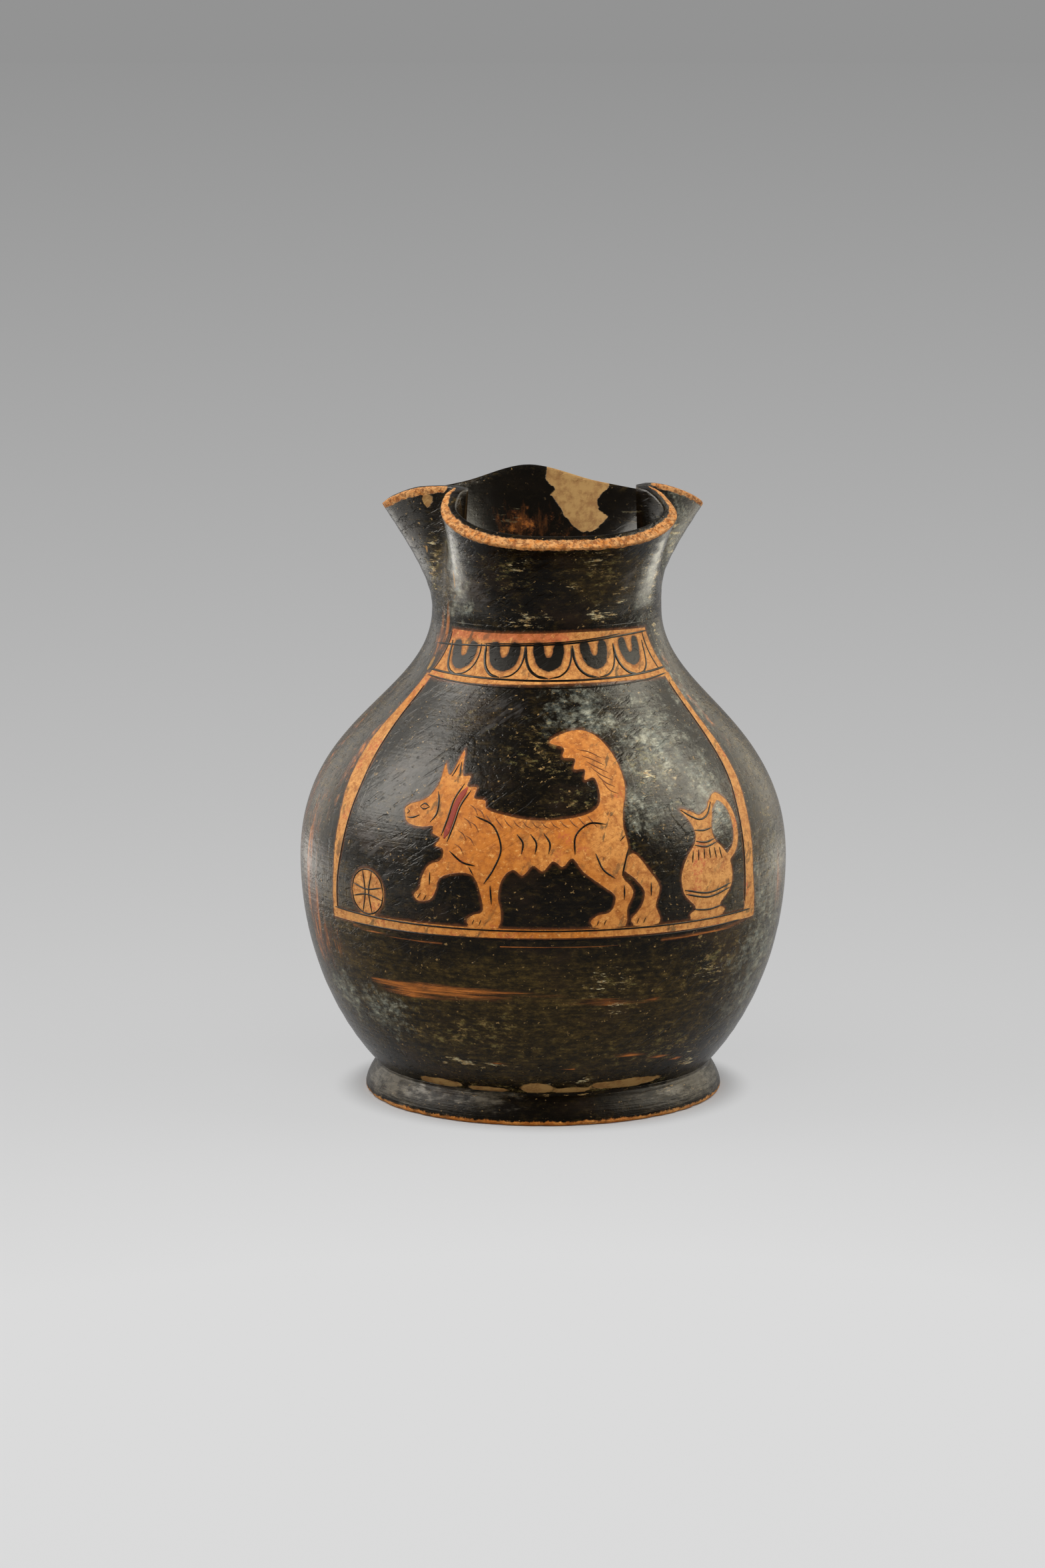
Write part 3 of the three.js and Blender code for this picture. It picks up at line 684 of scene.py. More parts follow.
# Thin misfired streaks as lines of turns and heights, with their half heights
STREAKS = (([(-46, 20.3), (-29, 20.7), (-12, 20.5), (8, 19.7), (24, 18.4)], 0.85),
           ([(-45, 19.4), (-28, 19.0), (-8, 18.8)], 0.3), ([(4, 20.4), (16, 19.9), (30, 19.0)], 0.3),
           ([(20, 10.8), (34, 9.6), (46, 8.2)], 0.5), ([(-27, 10.2), (-8, 9.2), (9, 8.6)], 0.25),
           ([(-50, 28.1), (-38, 27.6), (-24, 27.4)], 0.3), ([(-10, 27.5), (8, 27.5), (20, 27.6)], 0.15),
           ([(28, 27.7), (42, 27.9), (54, 28.4)], 0.4))
# Places outside where flakes of gloss are gone, listed like the marks
OUTER_FLAKES = (
    (-75.6, 85.9, 1.6, 1.1), (-78.6, 78.85, 0.9, 0.6), (-78, 74.6, 0.8, 1.0), (-51, 75.4, 0.7, 1.3),
    (-72, 83.7, 0.8, 1.6), (-36, 5.1, 9, 0.7), (-19, 4.8, 7, 0.5), (-2, 5.3, 5.5, 1.0), (9, 4.9, 6.5, 0.55),
    (28, 5.5, 13, 0.75), (-62, 63.2, 1.2, 0.9), (62, 20, 0.9, 0.4), (-160, 60, 2, 1), (170, 12, 2.4, 0.7))
# Dusty grey on the foot's sides and left front, partly a painted sheen where the lamps are mirrored
FOOT_DUST_AND_SHEEN = ((-62, 4, 30, 5), (62, 4, 30, 5), (-20, 3.5, 14, 2))
FOOT_CREAM = ((-20, 4.0, 30, 0.5), (10, 4.1, 40, 0.4), (50, 3.6, 14, 1.0))

# Flaked patch inside the back lobe as turns and heights, millimetres in a degree there, and other marks there
INNER_PATCH = np.array([
    (181, 86.3), (179.5, 89.5), (170, 90), (160, 89), (153.8, 87.5), (153.6, 85.9), (156.9, 84.0),
    (155.0, 82.3), (150.6, 81.6), (154.8, 79.3), (160.2, 79.0), (165.3, 79.7), (172.5, 82.1), (176.0, 83.9),
    (178.7, 84.4), (175.5, 85.4)])
INNER_DEGREE = 0.3
INNER_WARM = ((192, 80.4, 24, 3.4), (168, 77.6, 20, 2.4), (120, 80, 14, 3.5))
INNER_CREAM = ((66, 82.5, 12, 4.5), (84, 82, 12, 5), (-70, 83, 12, 4.5), (200, 81, 14, 3), (140, 82, 12, 4))

# Values of a field at places that its marks, its paint or its flakes don't reach
NO_MARK, NO_PAINT, NO_FLAKE, NO_WEAR = -3.0, 5.0, 3.0, 50.0
BLANK = {**dict.fromkeys(OUTSIDE_MARKS, NO_MARK), "grime": 0.0, "misfire": NO_MARK, "inside": 0.0,
         "reserved": NO_PAINT, "painted": NO_PAINT, "bare_lip": NO_WEAR, "flake": NO_FLAKE}
ALL_CLAY = -3.0

# Angles round the wall: half of the painted front, and how many lie in front and behind
FRONT_HALF = math.radians(66)
FRONT_ANGLES, BACK_ANGLES = 290, 90

# Heights between which rings lie closest, and counts of rings below, between and above them, in the mouth,
# on the inside below it, and across the lip
RINGS_FROM, RINGS_TO = 24.0, 69.0
LOW_RINGS, PAINTED_RINGS, HIGH_RINGS, MOUTH_RINGS, INNER_RINGS, LIP_RINGS = 20, 156, 34, 20, 22, 10

# Spacing and heights of the ridges left from throwing, outside and inside
RIDGE_SPACING, NECK_RIDGE, FOOT_RIDGE = 1.9, 0.035, 0.03
INNER_SPACING, INNER_RIDGE = 3.4, 0.12


def marks(turn, height, places):
    """Field that is 1 in the middle of each oval mark, 0 on its edge and negative outside all of them."""
    def from_middle(place):
        return (turn - place + 180) % 360 - 180
    return np.max([1 - np.hypot(from_middle(t) / a, (height - h) / b) for t, h, a, b in places], axis=0)


def degree_length(height):
    """Millimetres of the wall's outside in one degree at a height below the neck."""
    p = wall_point(0.0, stage_of_height(height))
    return np.hypot(p[..., 0], p[..., 1]) * np.pi / 180


def panel_fields(turn, height):
    """Signed distances in millimetres, negative inside: clay left bare, and black painted on it."""
    degree = degree_length(height)
    x = np.radians(turn) * PICTURE_RADIUS
    wobble = 0.1 * np.sin(height * 0.9 + 1.0) + 0.06 * np.sin(height * 2.7)
    parts = []
    for stripe in (LEFT_STRIPE, RIGHT_STRIPE):
        middle, half = (np.interp(height, stripe[:, 0], stripe[:, k]) for k in (1, 2))
        side = np.abs(turn - middle) * degree - half + wobble * 0.5
        parts.append(np.maximum(side, np.maximum(GROUND_BOTTOM - height, height - BAND_BOTTOM - 0.3)))
    sag = 0.15 * np.sin(np.radians(turn) * 3.1 + 0.4)
    ends = np.maximum(LEFT_STRIPE[0, 1] - GROUND_TURN - turn, turn - RIGHT_STRIPE[0, 1] - GROUND_TURN * 2)
    ground = np.maximum(GROUND_BOTTOM - height, height - GROUND_TOP) + sag * 0.4
    parts.append(np.maximum(ground, ends * degree))
    share = np.clip((height - BAND_BOTTOM) / (BAND_TOP - BAND_BOTTOM), 0, 1)
    half = BAND_HALF_BOTTOM + (BAND_HALF_TOP - BAND_HALF_BOTTOM) * share
    level = np.maximum(BAND_BOTTOM + sag - height, height - BAND_TOP - sag)
    parts.append(np.maximum(level, (np.abs(turn - BAND_MIDDLE_TURN) - half) * degree))
    parts += [shape_distance(x, height, closed_curve(s, 4)) for s in (DOG, FAR_LEG, SMALL_JUG)]
    parts.append(line_distance(x, height, open_curve(JUG_HANDLE, 5)) - JUG_HANDLE_HALF)
    parts.append(np.hypot(x - BALL_PLACE[0], height - BALL_PLACE[1]) - BALL_RADIUS)
    across = np.radians(turn) * BAND_RADIUS
    painted = np.full(turn.shape, NO_PAINT)
    for middle, half, full in EGGS:
        outline = closed_curve(EGG_BLACK, 4)
        outline[:, 0] = np.radians(middle + half * full * outline[:, 0]) * BAND_RADIUS
        outline[:, 1] += (middle + 42) * 0.006
        painted = np.minimum(painted, shape_distance(across, height, outline))
    return np.minimum.reduce(parts), painted


def streak_field(turn, height):
    """Thin misfired streaks: 1 in the middle of each, 0 on its edge, negative outside."""
    x = np.radians(turn) * PICTURE_RADIUS
    best = np.full(x.shape, NO_MARK)
    for line, half in STREAKS:
        path = open_curve(line, 4)
        path[:, 0] = np.radians(path[:, 0]) * PICTURE_RADIUS
        best = np.maximum(best, 1 - line_distance(x, height, path) / half)
    return best


# Degrees from the spout's middle: its end, and where the wear of the side lobes fades and ends
SPOUT_END, LOBE_FADE, LOBE_END = 76, 140, 160
# Millimetres that the worn lip is pitted and dented
LIP_PITS, LIP_DENTS = 0.08, 0.1


def lip_wear(angle):
    """How far the lip is worn bare at an angle: millimetres down its outside, and share across its face.

    Right across and over the edge on the spout, the outer half on the side lobes, nothing at the back.
    """
    a = np.degrees((angle + np.pi) % (2 * np.pi) - np.pi)
    spout = smooth(np.abs(a), SPOUT_END, 70)
    lobes = smooth(np.abs(a), SPOUT_END, 80) * smooth(np.abs(a), LOBE_END, LOBE_FADE)
    behind = 1 - spout - lobes
    down = 0.22 * spout + lobes * np.where(a < 0, 0.6, 0.35) - 0.6 * behind
    across = 0.62 - 0.2 * smooth(np.abs(a), 50, 70)
    return down, across * spout + 0.42 * lobes - 0.25 * behind


def inner_patch(turn, height):
    """Signed distance to the flaked patch inside the back lobe."""
    outline = INNER_PATCH * (INNER_DEGREE, 1)
    return shape_distance((turn % 360) * INNER_DEGREE, height, outline)


def body_angles():
    """Angles round the wall, close together across the painted front and wider apart behind."""
    front = np.linspace(-FRONT_HALF, FRONT_HALF, FRONT_ANGLES, endpoint=False)
    back = np.linspace(FRONT_HALF, 2 * np.pi - FRONT_HALF, BACK_ANGLES, endpoint=False)
    return np.concatenate([front, back]) - PANEL_TURN


def outside_rows(angles):
    """Rings of the wall's outside from waist to lip, with faint ridges from throwing, and their fields."""
    low, high = stage_of_height(RINGS_FROM), stage_of_height(RINGS_TO)
    stages = np.concatenate([np.linspace(0, low, LOW_RINGS, endpoint=False),
                             np.linspace(low, high, PAINTED_RINGS, endpoint=False),
                             np.linspace(high, 3, HIGH_RINGS)])
    grid_angle, grid_stage = np.meshgrid(angles, stages)
    point, normal, _ = wall_frame(grid_angle, grid_stage)
    height = point[..., 2]
    ridge = np.sin(2 * np.pi * height / RIDGE_SPACING + grid_angle)
    ridge = ridge * (0.6 + 0.4 * lattice_noise(point, 6.0, 3))
    free = smooth(height, 69.5, 73) * NECK_RIDGE + smooth(height, 27, 24) * smooth(height, 5, 8) * FOOT_RIDGE
    point = point + normal * (ridge * free * smooth(grid_stage, 3, 2.9))[..., None]
    turn = turn_of(grid_angle)
    below_neck = np.minimum(height, NECK_HEIGHT - 0.2)
    reserved, painted = panel_fields(turn, below_neck)
    down, _ = lip_wear(grid_angle)
    way = np.linalg.norm(point - point[-1][None], axis=-1)
    fields = {name: marks(turn, height, places) for name, places in OUTSIDE_MARKS.items()}
    fields["grime"] = np.maximum(fields["grime"], 0)
    fields["reserved"], fields["painted"] = np.where(height > below_neck, NO_PAINT, reserved), painted
    fields["misfire"], fields["bare_lip"] = streak_field(turn, height), way - down
    fields["flake"] = -marks(turn, height, OUTER_FLAKES)
    return point, fields


def lip_rows(angles):
    """Rings across the lip's face, a flat oval that is pitted where it is worn, and their fields."""
    point, normal, up = wall_frame(angles, np.full_like(angles, 3.0))
    t = np.linspace(0, np.pi, LIP_RINGS + 1)[1:, None, None]
    across = (1 - np.sign(np.cos(t)) * np.abs(np.cos(t)) ** LIP_CORNER) / 2
    crown = np.abs(np.sin(t)) ** CROWN_CORNER * LIP_CROWN
    rows = point - normal * across * LIP_WALL + up * crown
    across = across[..., 0]
    wear = lip_wear(angles)[1]
    worn = smooth(wear - across, -0.1, 0.2) * np.sin(t[..., 0])
    dent = LIP_PITS * lattice_noise(rows, 0.9, 5) + LIP_DENTS * lattice_noise(rows, 3.0, 6) - LIP_PITS
    rows = rows + up * (worn * dent)[..., None]
    patch = inner_patch(turn_of(angles), rows[..., 2])
    return rows, {"bare_lip": (across - wear) * LIP_WALL, "flake": np.where(across > 0.5, patch, NO_FLAKE)}


def inside_rows(angles, edge):
    """Rings of the inside from the lip down to the floor with their fields, and the rings of the floor."""
    stages = np.concatenate([np.linspace(2.95, 2, MOUTH_RINGS, endpoint=False),
                             np.linspace(2, 0.28, INNER_RINGS)])
    grid_angle, grid_stage = np.meshgrid(angles, stages)
    point, normal, _ = wall_frame(grid_angle, grid_stage)
    wall = np.where(grid_stage > 2, BODY_WALL + (LIP_WALL - BODY_WALL) * (grid_stage - 2), BODY_WALL)
    ridge = np.sin(2 * np.pi * point[..., 2] / INNER_SPACING + grid_angle) * INNER_RIDGE
    ridge = ridge * smooth(grid_stage, 2.1, 1.8)
    rows = point - normal * (wall + ridge)[..., None]
    share = np.linspace(1, 0, 8)[1:-1, None]
    bowl = FLOOR_HEIGHT + (rows[-1][None, :, 2] - FLOOR_HEIGHT) * share ** 3
    bowl = np.stack([rows[-1][None, :, 0] * share, rows[-1][None, :, 1] * share, bowl], -1)
    way = np.linalg.norm(rows - edge[None], axis=-1)
    turn, height = turn_of(grid_angle), rows[..., 2]
    fields = {"bare_lip": way + (1 - lip_wear(grid_angle)[1]) * LIP_WALL, "inside": 1.0,
              "flake": inner_patch(turn, height), "warm": marks(turn, height, INNER_WARM),
              "cream": marks(turn, height, INNER_CREAM)}
    return rows, fields, bowl


def body_piece():
    """The whole thrown body as one closed skin: underside, outside, over the lip, inside and floor."""
    angles = body_angles()
    half = angles[::2]
    radii = np.array([0.8, 2.5, 5, 8, 11, 14, 17, 20, 22.5])
    dish = WAIST_HEIGHT + 0.35 * smooth(radii, 19, 6) - 0.25 * smooth(radii, 2.5, 0.8)
    dish = dish + 0.04 * np.sin(radii * 2.2)
    under = ring_rows(radii, dish, half)
    outer, outer_fields = outside_rows(angles)
    lip, lip_fields = lip_rows(angles)
    inner, inner_fields, bowl = inside_rows(half, lip[-1][::2])
    groups = [(under, {"reserved": ALL_CLAY}), (outer, outer_fields), (lip, lip_fields),
              (inner, inner_fields), (bowl, {"inside": 1.0})]
    points, faces = skin([row for rows, _ in groups for row in rows], [(0, 0, dish[0]), (0, 0, FLOOR_HEIGHT)])
    fields = {}
    for name, blank in BLANK.items():
        parts = [np.broadcast_to(given.get(name, blank), rows.shape[:-1]).ravel() for rows, given in groups]
        middles = [groups[0][1].get(name, blank), blank]
        fields[name] = np.concatenate(parts + [middles])
    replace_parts(add_piece("jug_body", points, faces, "body_clay", body_material(), fields), "body")


# Strokes: spacing of their sections, length of their fine ends, and the section's shares of width and rise
STROKE_SPACING, STROKE_POINT = 0.3, 0.9
STROKE_ACROSS = np.array([1.0, 0.6, -0.6, -1.0, -0.6, 0.6])
STROKE_OUT = np.array([0.0, 1.0, 1.0, 0.0, -1.0, -1.0])
# Half widths of the strokes, and how far each slip stands up
PICTURE_HALF, BALL_HALF, FUR_HALF, COLLAR_HALF, STRIPE_HALF, BORDER_HALF = 0.13, 0.11, 0.09, 0.42, 0.1, 0.12
UPPER_HALF, SECOND_HALF, LOWER_HALF, EGG_RIGHT_HALF, EGG_LEFT_HALF = 0.13, 0.09, 0.17, 0.21, 0.13
LINE_RISE, FUR_RISE, COLLAR_RISE = 0.07, 0.035, 0.03


def wall_line(points, spacing):
    """Line laid evenly on the wall: its places, their normals and directions, and distances to its ends."""
    drawn = open_curve(points, 16)
    scale = degree_length(drawn[:, 1])
    step = np.hypot(np.diff(drawn[:, 0]) * (scale[:-1] + scale[1:]) / 2, np.diff(drawn[:, 1]))
    way = np.concatenate([[0], np.cumsum(step)])
    even = np.linspace(0, way[-1], max(5, int(way[-1] / spacing) + 1))
    turn, height = (np.interp(even, way, drawn[:, k]) for k in (0, 1))
    place, normal, _ = wall_frame(np.radians(turn) - PANEL_TURN, stage_of_height(height))
    along = np.gradient(place, axis=0)
    along /= np.linalg.norm(along, axis=1, keepdims=True)
    return place, normal, along, np.minimum(even, way[-1] - even)


def stroke_skin(points, half_width, rise):
    """One raised stroke of slip on the wall: a low six-sided section along its line, fine at both ends."""
    place, normal, along, from_end = wall_line(points, STROKE_SPACING)
    side = np.cross(normal, along)
    half = half_width * (0.3 + 0.7 * smooth(from_end, 0, STROKE_POINT))
    rows = (place[:, None] + side[:, None] * STROKE_ACROSS[None, :, None] * half[:, None, None]
            + normal[:, None] * STROKE_OUT[None, :, None] * rise)
    return skin(rows, [place[0], place[-1]])


def strokes_piece(name, strokes, rise, material):
    """All strokes of one slip as one mesh; each is a line of turns and heights with its half width."""
    points, faces, count = [], [], 0
    for line, half_width in strokes:
        p, f = stroke_skin(line, half_width, rise)
        points.append(p)
        faces += [part + count for part in f]
        count += len(p)
    add_piece(name, np.vstack(points), faces, "body_clay", material)


def on_belly(lines):
    """Lines drawn in millimetres across the picture, as turns and heights."""
    return [[(math.degrees(x / PICTURE_RADIUS), z) for x, z in line] for line in lines]


def frame_strokes():
    """Thin black lines of the egg pattern and of the frame, each with its half width."""
    second = [(t, z + 0.28 + 0.05 * math.sin(t)) for t, z in UPPER_LINE[1:4]]
    strokes = [(UPPER_LINE, UPPER_HALF), (second, SECOND_HALF), (LOWER_LINE, LOWER_HALF),
               (EDGE_LINE, BORDER_HALF)]
    for middle, half, _ in EGGS:
        for side, half_width in ((1, EGG_RIGHT_HALF), (-1, EGG_LEFT_HALF)):
            strokes.append(([(middle + half * u * side, z) for u, z in EGG_OUTLINE], half_width))
    strokes += [(line, BORDER_HALF) for line in GROUND_LINES + BAND_ENDS]
    for stripe, inward in ((LEFT_STRIPE, 1), (RIGHT_STRIPE, -1)):
        inner = [(t + inward * (half - 0.02) / degree_length(z), z) for z, t, half in stripe[2:-3:5]]
        strokes.append((inner, STRIPE_HALF))
    return strokes


def ball_lines():
    """Rim of the ball and four bent seams across it."""
    x, z = BALL_PLACE
    a = np.linspace(0, 2 * np.pi, 13)
    rim = np.stack([x + (BALL_RADIUS - 0.15) * np.cos(a), z + (BALL_RADIUS - 0.15) * np.sin(a)], 1)
    reach = BALL_RADIUS * 0.88
    seams = [[(x + k, z - reach), (x + 0.4 * k, z), (x + k, z + reach)] for k in (-0.9, 0.9)]
    seams += [[(x - reach, z + k), (x, z + 0.4 * k), (x + reach, z + k)] for k in (-0.9, 0.9)]
    return [rim[:7], rim[6:]] + seams


def add_painting():
    """Relief lines of the frame and the picture, fur in thinned slip, and added red on the collar."""
    black = slip_material("relief_black", GLOSS_BLACK, GLOSS_BROWN, 0.3)
    brown = slip_material("thinned_brown", MISFIRED_DARK, CLAY_DEEP, 0.5)
    red = slip_material("added_red", ADDED_RED, CLAY_RED, 0.75)
    lines = frame_strokes() + [(line, PICTURE_HALF) for line in on_belly(PICTURE_LINES)]
    lines += [(line, BALL_HALF) for line in on_belly(ball_lines())]
    collar = [((x0 + x1) / 2, (z0 + z1) / 2) for (x0, z0), (x1, z1) in zip(COLLAR_FRONT, COLLAR_BACK)]
    strokes_piece("relief_lines", lines, LINE_RISE, black)
    strokes_piece("fur_strokes", [(line, FUR_HALF) for line in on_belly(FUR)], FUR_RISE, brown)
    strokes_piece("red_collar", [(line, COLLAR_HALF) for line in on_belly([collar])], COLLAR_RISE, red)


def section_arc(count, *corners):
    """Points of a cubic curve in a section, from its radius and height at its two ends and two pulls."""
    return bezier(np.linspace(0, 1, count)[:, None], *np.array(corners, float))


def foot_profile():
    """Section of the ring foot from the standing flat round by the swell, shoulder and groove to the hollow.

    The outside is three cubic curves: from the flat to the swell, in to the shoulder, and over the groove.
    """
    under = section_arc(7, (FOOT_REST, 0), (FOOT_REST + FOOT_PULL, 0), (FOOT_SWELL, SWELL_HEIGHT / 2),
                        (FOOT_SWELL, SWELL_HEIGHT))
    bulge = section_arc(22, (FOOT_SWELL, SWELL_HEIGHT), (FOOT_SWELL, SWELL_HEIGHT + SWELL_ABOVE),
                        (FOOT_SHOULDER + SHOULDER_OUT, SHOULDER_HEIGHT - SHOULDER_DOWN),
                        (FOOT_SHOULDER, SHOULDER_HEIGHT))
    groove = section_arc(8, (FOOT_SHOULDER, SHOULDER_HEIGHT), (FOOT_GROOVE, GROOVE_HEIGHT),
                         (FOOT_GROOVE - 0.1, GROOVE_HEIGHT + 0.2), (WAIST_RADIUS, WAIST_HEIGHT))
    hollow = section_arc(9, (FOOT_INNER, WAIST_HEIGHT), (FOOT_INNER, WAIST_HEIGHT * 0.55),
                         (FOOT_INNER + 0.4, 0.3), (FOOT_REST_INNER, 0))
    seat = [(WAIST_RADIUS - 0.2, WAIST_HEIGHT), (FOOT_INNER + 0.2, WAIST_HEIGHT)]
    flat = [(FOOT_REST_INNER + 0.15, 0), (FOOT_REST - 0.15, 0)]
    return np.vstack([under, bulge[1:], groove[1:], seat, hollow, flat])


def foot_piece():
    """Ring foot: its section turned round the axis, slightly uneven, chipped and worn where it stands."""
    profile = foot_profile()
    angles = np.linspace(0, 2 * np.pi, FOOT_ANGLES, endpoint=False)
    rows = ring_rows(profile[:, 0], profile[:, 1], angles)
    radius, height = np.hypot(rows[..., 0], rows[..., 1]), rows[..., 2]
    outward = rows * (1, 1, 0) / radius[..., None]
    uneven = FOOT_BROAD * lattice_noise(rows, 9.0, 11) + FOOT_FINE * lattice_noise(rows, 2.2, 12) - FOOT_BROAD
    chips = np.minimum(0, lattice_noise(rows, 1.4, 13) + 0.25) * CHIP_DEPTH * smooth(height, 1.0, 0.1)
    shown = smooth(radius, FOOT_GROOVE, FOOT_GROOVE + 0.5)
    rows = rows + outward * ((uneven + chips) * shown)[..., None]
    worn = np.where(radius < FOOT_REST + 0.1, -2.0, height - 0.65)
    worn = np.where((height > WAIST_HEIGHT / 2) & (radius > FOOT_INNER + 1), height, worn)
    turn = turn_of(np.broadcast_to(angles, radius.shape))
    fields = {"worn": worn, "cream": marks(turn, height, FOOT_CREAM), "dust": marks(turn, height, FOOT_DUST_AND_SHEEN)}
    material = worn_gloss_material("black_gloss_foot", 0.12, -0.1, 0.9)
    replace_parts(add_piece("ring_foot", *skin(rows), "foot_clay", material, fields), "foot")


def wall_radius(points):
    """Distance from the axis of the wall's outside, at the angle and the height of each point."""
    angle = np.arctan2(points[..., 0] - LEAN_SHIFT, -points[..., 1])
    wall = wall_point(angle[..., None], np.linspace(1, 3, 160))
    nearest = np.argmin(np.abs(wall[..., 2] - points[..., 2, None]), axis=-1)[..., None]
    reach = np.hypot(wall[..., 0], wall[..., 1])
    return np.take_along_axis(reach, nearest, -1)[..., 0]


def handle_piece():
    """Strap handle: a flattened oval section along the middle line that swells and ends inside the wall."""
    path = open_curve(HANDLE_PATH, 16)
    along = np.gradient(path, axis=0)
    along /= np.linalg.norm(along, axis=1, keepdims=True)
    t = np.linspace(0, 1, len(path))
    width = STRAP_HALF + STRAP_TOP * (1 - t) ** 4 + STRAP_FOOT * t ** 4
    width = width * np.sqrt(1 - TONGUE_DEPTH * np.clip((t - TONGUE_START) / (1 - TONGUE_START), 0, 1) ** 2)
    thick = STRAP_THICK * (1 + STRAP_SWELL * ((1 - t) ** 12 + t ** 12))
    around = np.linspace(0, 2 * np.pi, STRAP_ANGLES, endpoint=False)
    power = 2 / STRAP_SQUARE
    x = np.sign(np.cos(around)) * np.abs(np.cos(around)) ** power
    h = np.sign(np.sin(around)) * np.abs(np.sin(around)) ** power
    rows = np.stack([width[:, None] * x[None],
                     path[:, 0][:, None] + along[:, 1][:, None] * h[None] * thick[:, None],
                     path[:, 1][:, None] - along[:, 0][:, None] * h[None] * thick[:, None]], -1)
    rows = rows + STRAP_UNEVEN * np.stack([lattice_noise(rows, 4.0, seed) for seed in (21, 22, 23)], -1)
    out = np.hypot(rows[..., 0], rows[..., 1])
    rows[..., :2] *= np.maximum(1, (wall_radius(rows) - STRAP_SINK) / out)[..., None]
    points, faces = skin(rows, [rows[0].mean(0), rows[-1].mean(0)])
    worn = np.concatenate([np.broadcast_to(1.3 - 0.8 * np.abs(x), rows.shape[:-1]).ravel(), [1.3, 1.3]])
    fields = {"worn": worn, "cream": worn * 0, "dust": worn * 0 - 2}
    material = worn_gloss_material("black_gloss_handle", 0.3, 0.22, 0.0)
    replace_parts(add_piece("strap_handle", points, faces, "handle_clay", material, fields), "handle")


# Camera: 9.54 degrees above the level of its target, a 100 mm lens on a 36 mm frame
LENS_MM, SENSOR_MM = 100.0, 36.0
CAMERA_TURN, CAMERA_RISE, CAMERA_DISTANCE = -8.0, 9.54, 628.17
TARGET_HEIGHT, TARGET_ASIDE = 44.37, -2.98


def from_view(side, rise, distance):
    """Place seen from the jug: degrees to the right of the camera's direction, degrees up, and distance."""
    turn, rise = math.radians(CAMERA_TURN + side), math.radians(rise)
    level = distance * math.cos(rise)
    return np.array([math.sin(turn) * level, -math.cos(turn) * level, distance * math.sin(rise)])


def add_camera():
    """Camera at the photograph's angle and distance."""
    data = bpy.data.cameras.new("camera")
    data.sensor_fit = "VERTICAL"
    data.sensor_height = SENSOR_MM
    data.lens = LENS_MM
    data.clip_start, data.clip_end = 0.01, 200
    camera = bpy.data.objects.new("camera", data)
    bpy.context.scene.collection.objects.link(camera)
    turn = math.radians(CAMERA_TURN)
    target = np.array([math.cos(turn) * TARGET_ASIDE, math.sin(turn) * TARGET_ASIDE, TARGET_HEIGHT])
    camera.location = to_world(target + from_view(0, CAMERA_RISE, CAMERA_DISTANCE))
    camera.rotation_euler = (math.radians(90 - CAMERA_RISE), 0, turn)
    bpy.context.scene.camera = camera


# Floor: its screen grey, a glow that paints the fall of light with distance, is GREY_FAR at the horizon and
# rises towards a place in front of the jug to GREY_NEAR
GREY_FAR, GREY_NEAR, GREY_GAIN, GREY_REACH = 147.0, 217.0, 36977.0, 414.5
BRIGHT_PLACE = from_view(0, 0, 205)
FLOOR_LIGHT, FLOOR_FIRST, FLOOR_RADIUS, FLOOR_RINGS, FLOOR_ANGLES = 1.38, 40, 60000.0, 40, 96
# Where the lamps light the floor, as distances from the axis between which it fades, and the share they light
WIDE_SHADE, WIDE_SHARE = (400, 90), 0.12
CLOSE_SHADE, CLOSE_SHARE = (31, 25.5), 0.85


def add_stage():
    """Wide flat floor: partly lit by the lamps near the jug, elsewhere glowing with a painted grey that
    changes with distance.
    """
    count = FLOOR_ANGLES
    angles = np.linspace(2 * np.pi, 0, count, endpoint=False)
    rings = ring_rows(np.geomspace(FLOOR_FIRST, FLOOR_RADIUS, FLOOR_RINGS), np.zeros(FLOOR_RINGS), angles)
    faces = [f for i in range(FLOOR_RINGS - 1) for f in band_faces(i * count, (i + 1) * count, count, count)]
    middle = np.arange(count)
    faces.append(np.stack([np.full(count, FLOOR_RINGS * count), np.roll(middle, -1), middle], 1))
    sh = Shader("pale_paper")
    across, deep = sh.x - BRIGHT_PLACE[0], sh.y - BRIGHT_PLACE[1]
    way = (across * across + deep * deep) ** 0.5
    level = (GREY_FAR + GREY_GAIN / (way + GREY_REACH)).min(GREY_NEAR) / 255
    light = ((level + 0.055) / 1.055) ** 2.4
    from_axis = (sh.x * sh.x + sh.y * sh.y) ** 0.5
    shaded = from_axis.step(*WIDE_SHADE) * WIDE_SHARE + from_axis.step(*CLOSE_SHADE) * CLOSE_SHARE
    camera, glossy, through = (sh.add("LightPath", None, {}, "Is %s Ray" % kind)
                               for kind in ("Camera", "Glossy", "Transmission"))
    glow = camera.max(glossy).max(through) * (1 - shaded)
    paper = sh.add("BsdfPrincipled", None, {
        "Base Color": light * (1 - glow) / FLOOR_LIGHT, "Roughness": 1.0, "Specular IOR Level": 0.0,
        "Emission Color": light * glow, "Emission Strength": 1.0})
    sh.add("OutputMaterial", None, {"Surface": paper})
    add_mesh("floor", np.vstack([rings.reshape(-1, 3), [(0, 0, 0)]]), faces, sh.material)


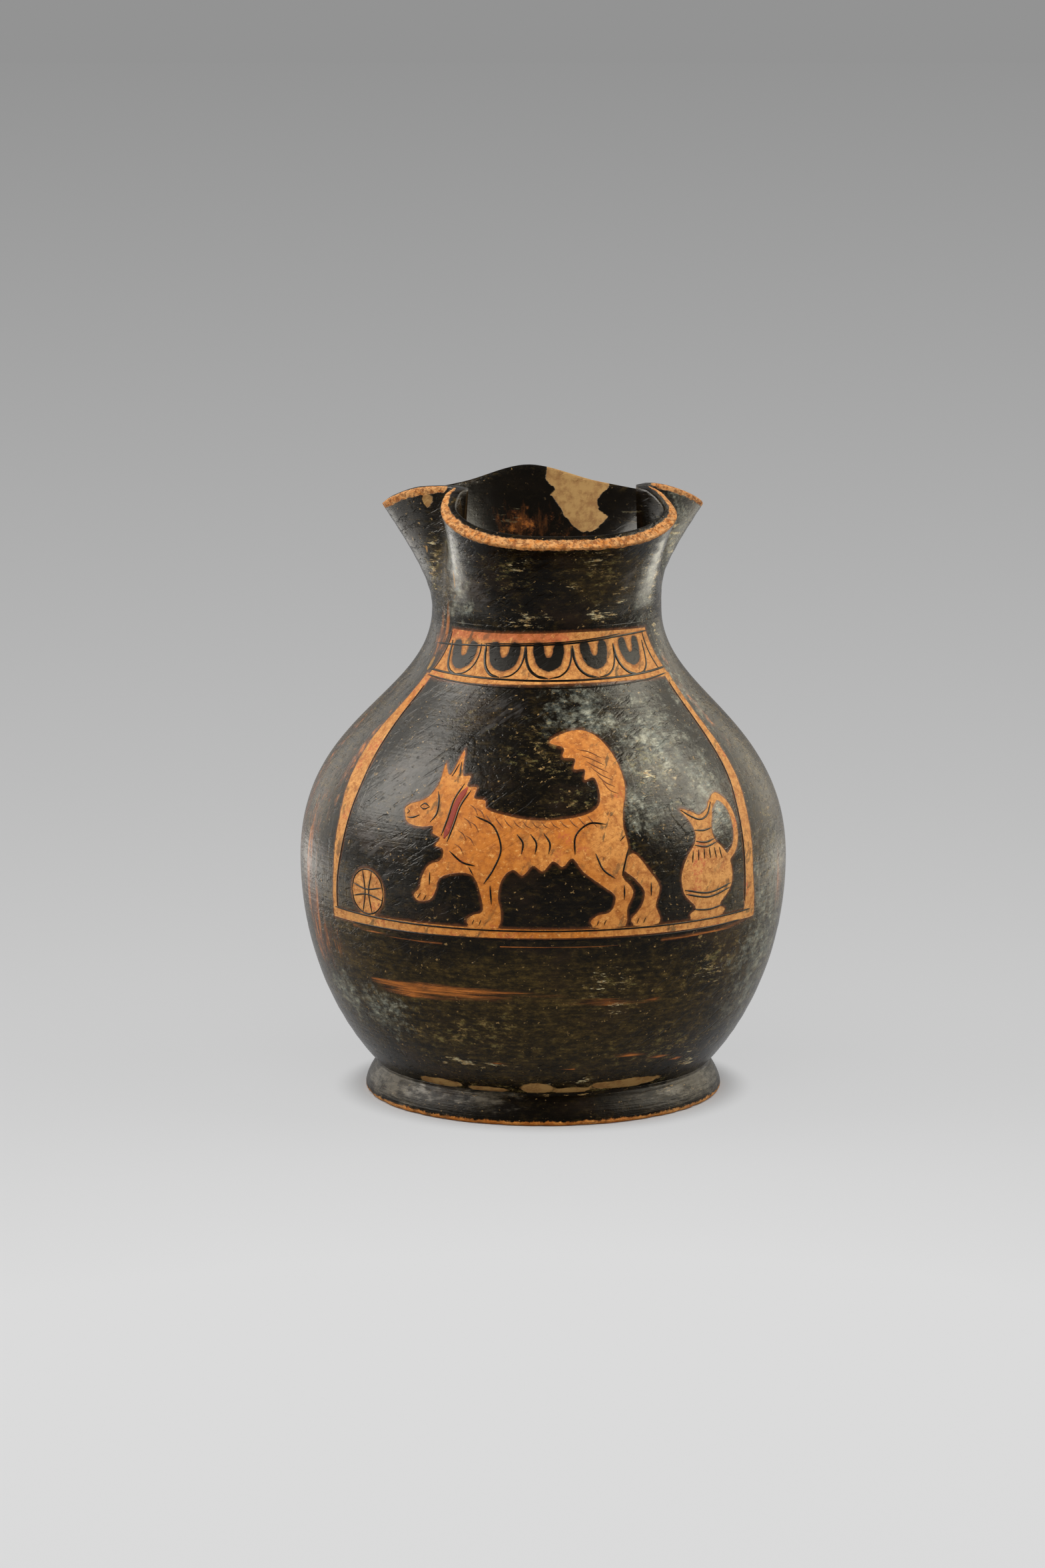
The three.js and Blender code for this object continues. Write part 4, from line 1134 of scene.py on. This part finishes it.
def add_lamp(name, side, rise, distance, size, power, mirrored, tint=(1, 1, 1), facing=None):
    """Soft lamp that is mirrored in the gloss or else lights the colours, aimed at the jug or by facing."""
    data = bpy.data.lights.new(name, "AREA")
    data.shape = "RECTANGLE"
    data.size, data.size_y = size
    data.energy = power
    data.color = tint
    lamp = bpy.data.objects.new(name, data)
    bpy.context.scene.collection.objects.link(lamp)
    lamp.location = to_world(from_view(side, rise, distance) + [0, 0, TARGET_HEIGHT])
    tilt = rise if facing is None else facing
    lamp.rotation_euler = (math.radians(90 - tilt), 0, math.radians(CAMERA_TURN + side))
    lamp.visible_camera = False
    lamp.visible_glossy = mirrored
    lamp.visible_diffuse = not mirrored


# Colour of the reflected lamps on each side
WARM_LEFT, WARM_RIGHT = (1.0, 0.96, 0.88), (1.0, 0.94, 0.78)


def add_lights():
    """Soft lamps at the sides and in front, reflectors behind them, cards on the floor, a grey surround."""
    add_lamp("left_light", -86, 42, 950, (0.7, 0.8), 7.0, False)
    add_lamp("right_light", 86, 42, 950, (0.7, 0.8), 6.4, False)
    add_lamp("front_light", -4, 48, 1200, (1.0, 1.0), 11.0, False)
    add_lamp("left_sheen", -86, 36, 950, (0.65, 0.75), 30.0, True, WARM_LEFT)
    add_lamp("right_sheen", 86, 36, 950, (0.65, 0.75), 28.0, True, WARM_RIGHT)
    add_lamp("left_rim", -126, 16, 1000, (1.0, 1.4), 8.5, True, WARM_LEFT)
    add_lamp("right_rim", 126, 16, 1000, (1.0, 1.4), 9.0, True, WARM_RIGHT)
    add_lamp("left_card", -96, -11.6, 216, (0.4, 0.15), 0.8, True, WARM_LEFT, -90)
    add_lamp("right_card", 96, -11.6, 216, (0.4, 0.15), 0.6, True, WARM_RIGHT, -90)
    world = bpy.data.worlds.new("surround")
    world.use_nodes = True
    world.node_tree.nodes["Background"].inputs["Color"].default_value = colour(GREY_FAR, GREY_FAR, GREY_FAR)
    bpy.context.scene.world = world


bpy.context.scene.view_settings.view_transform = "Standard"
add_camera()
add_stage()
add_lights()
body_piece()
foot_piece()
handle_piece()
add_painting()
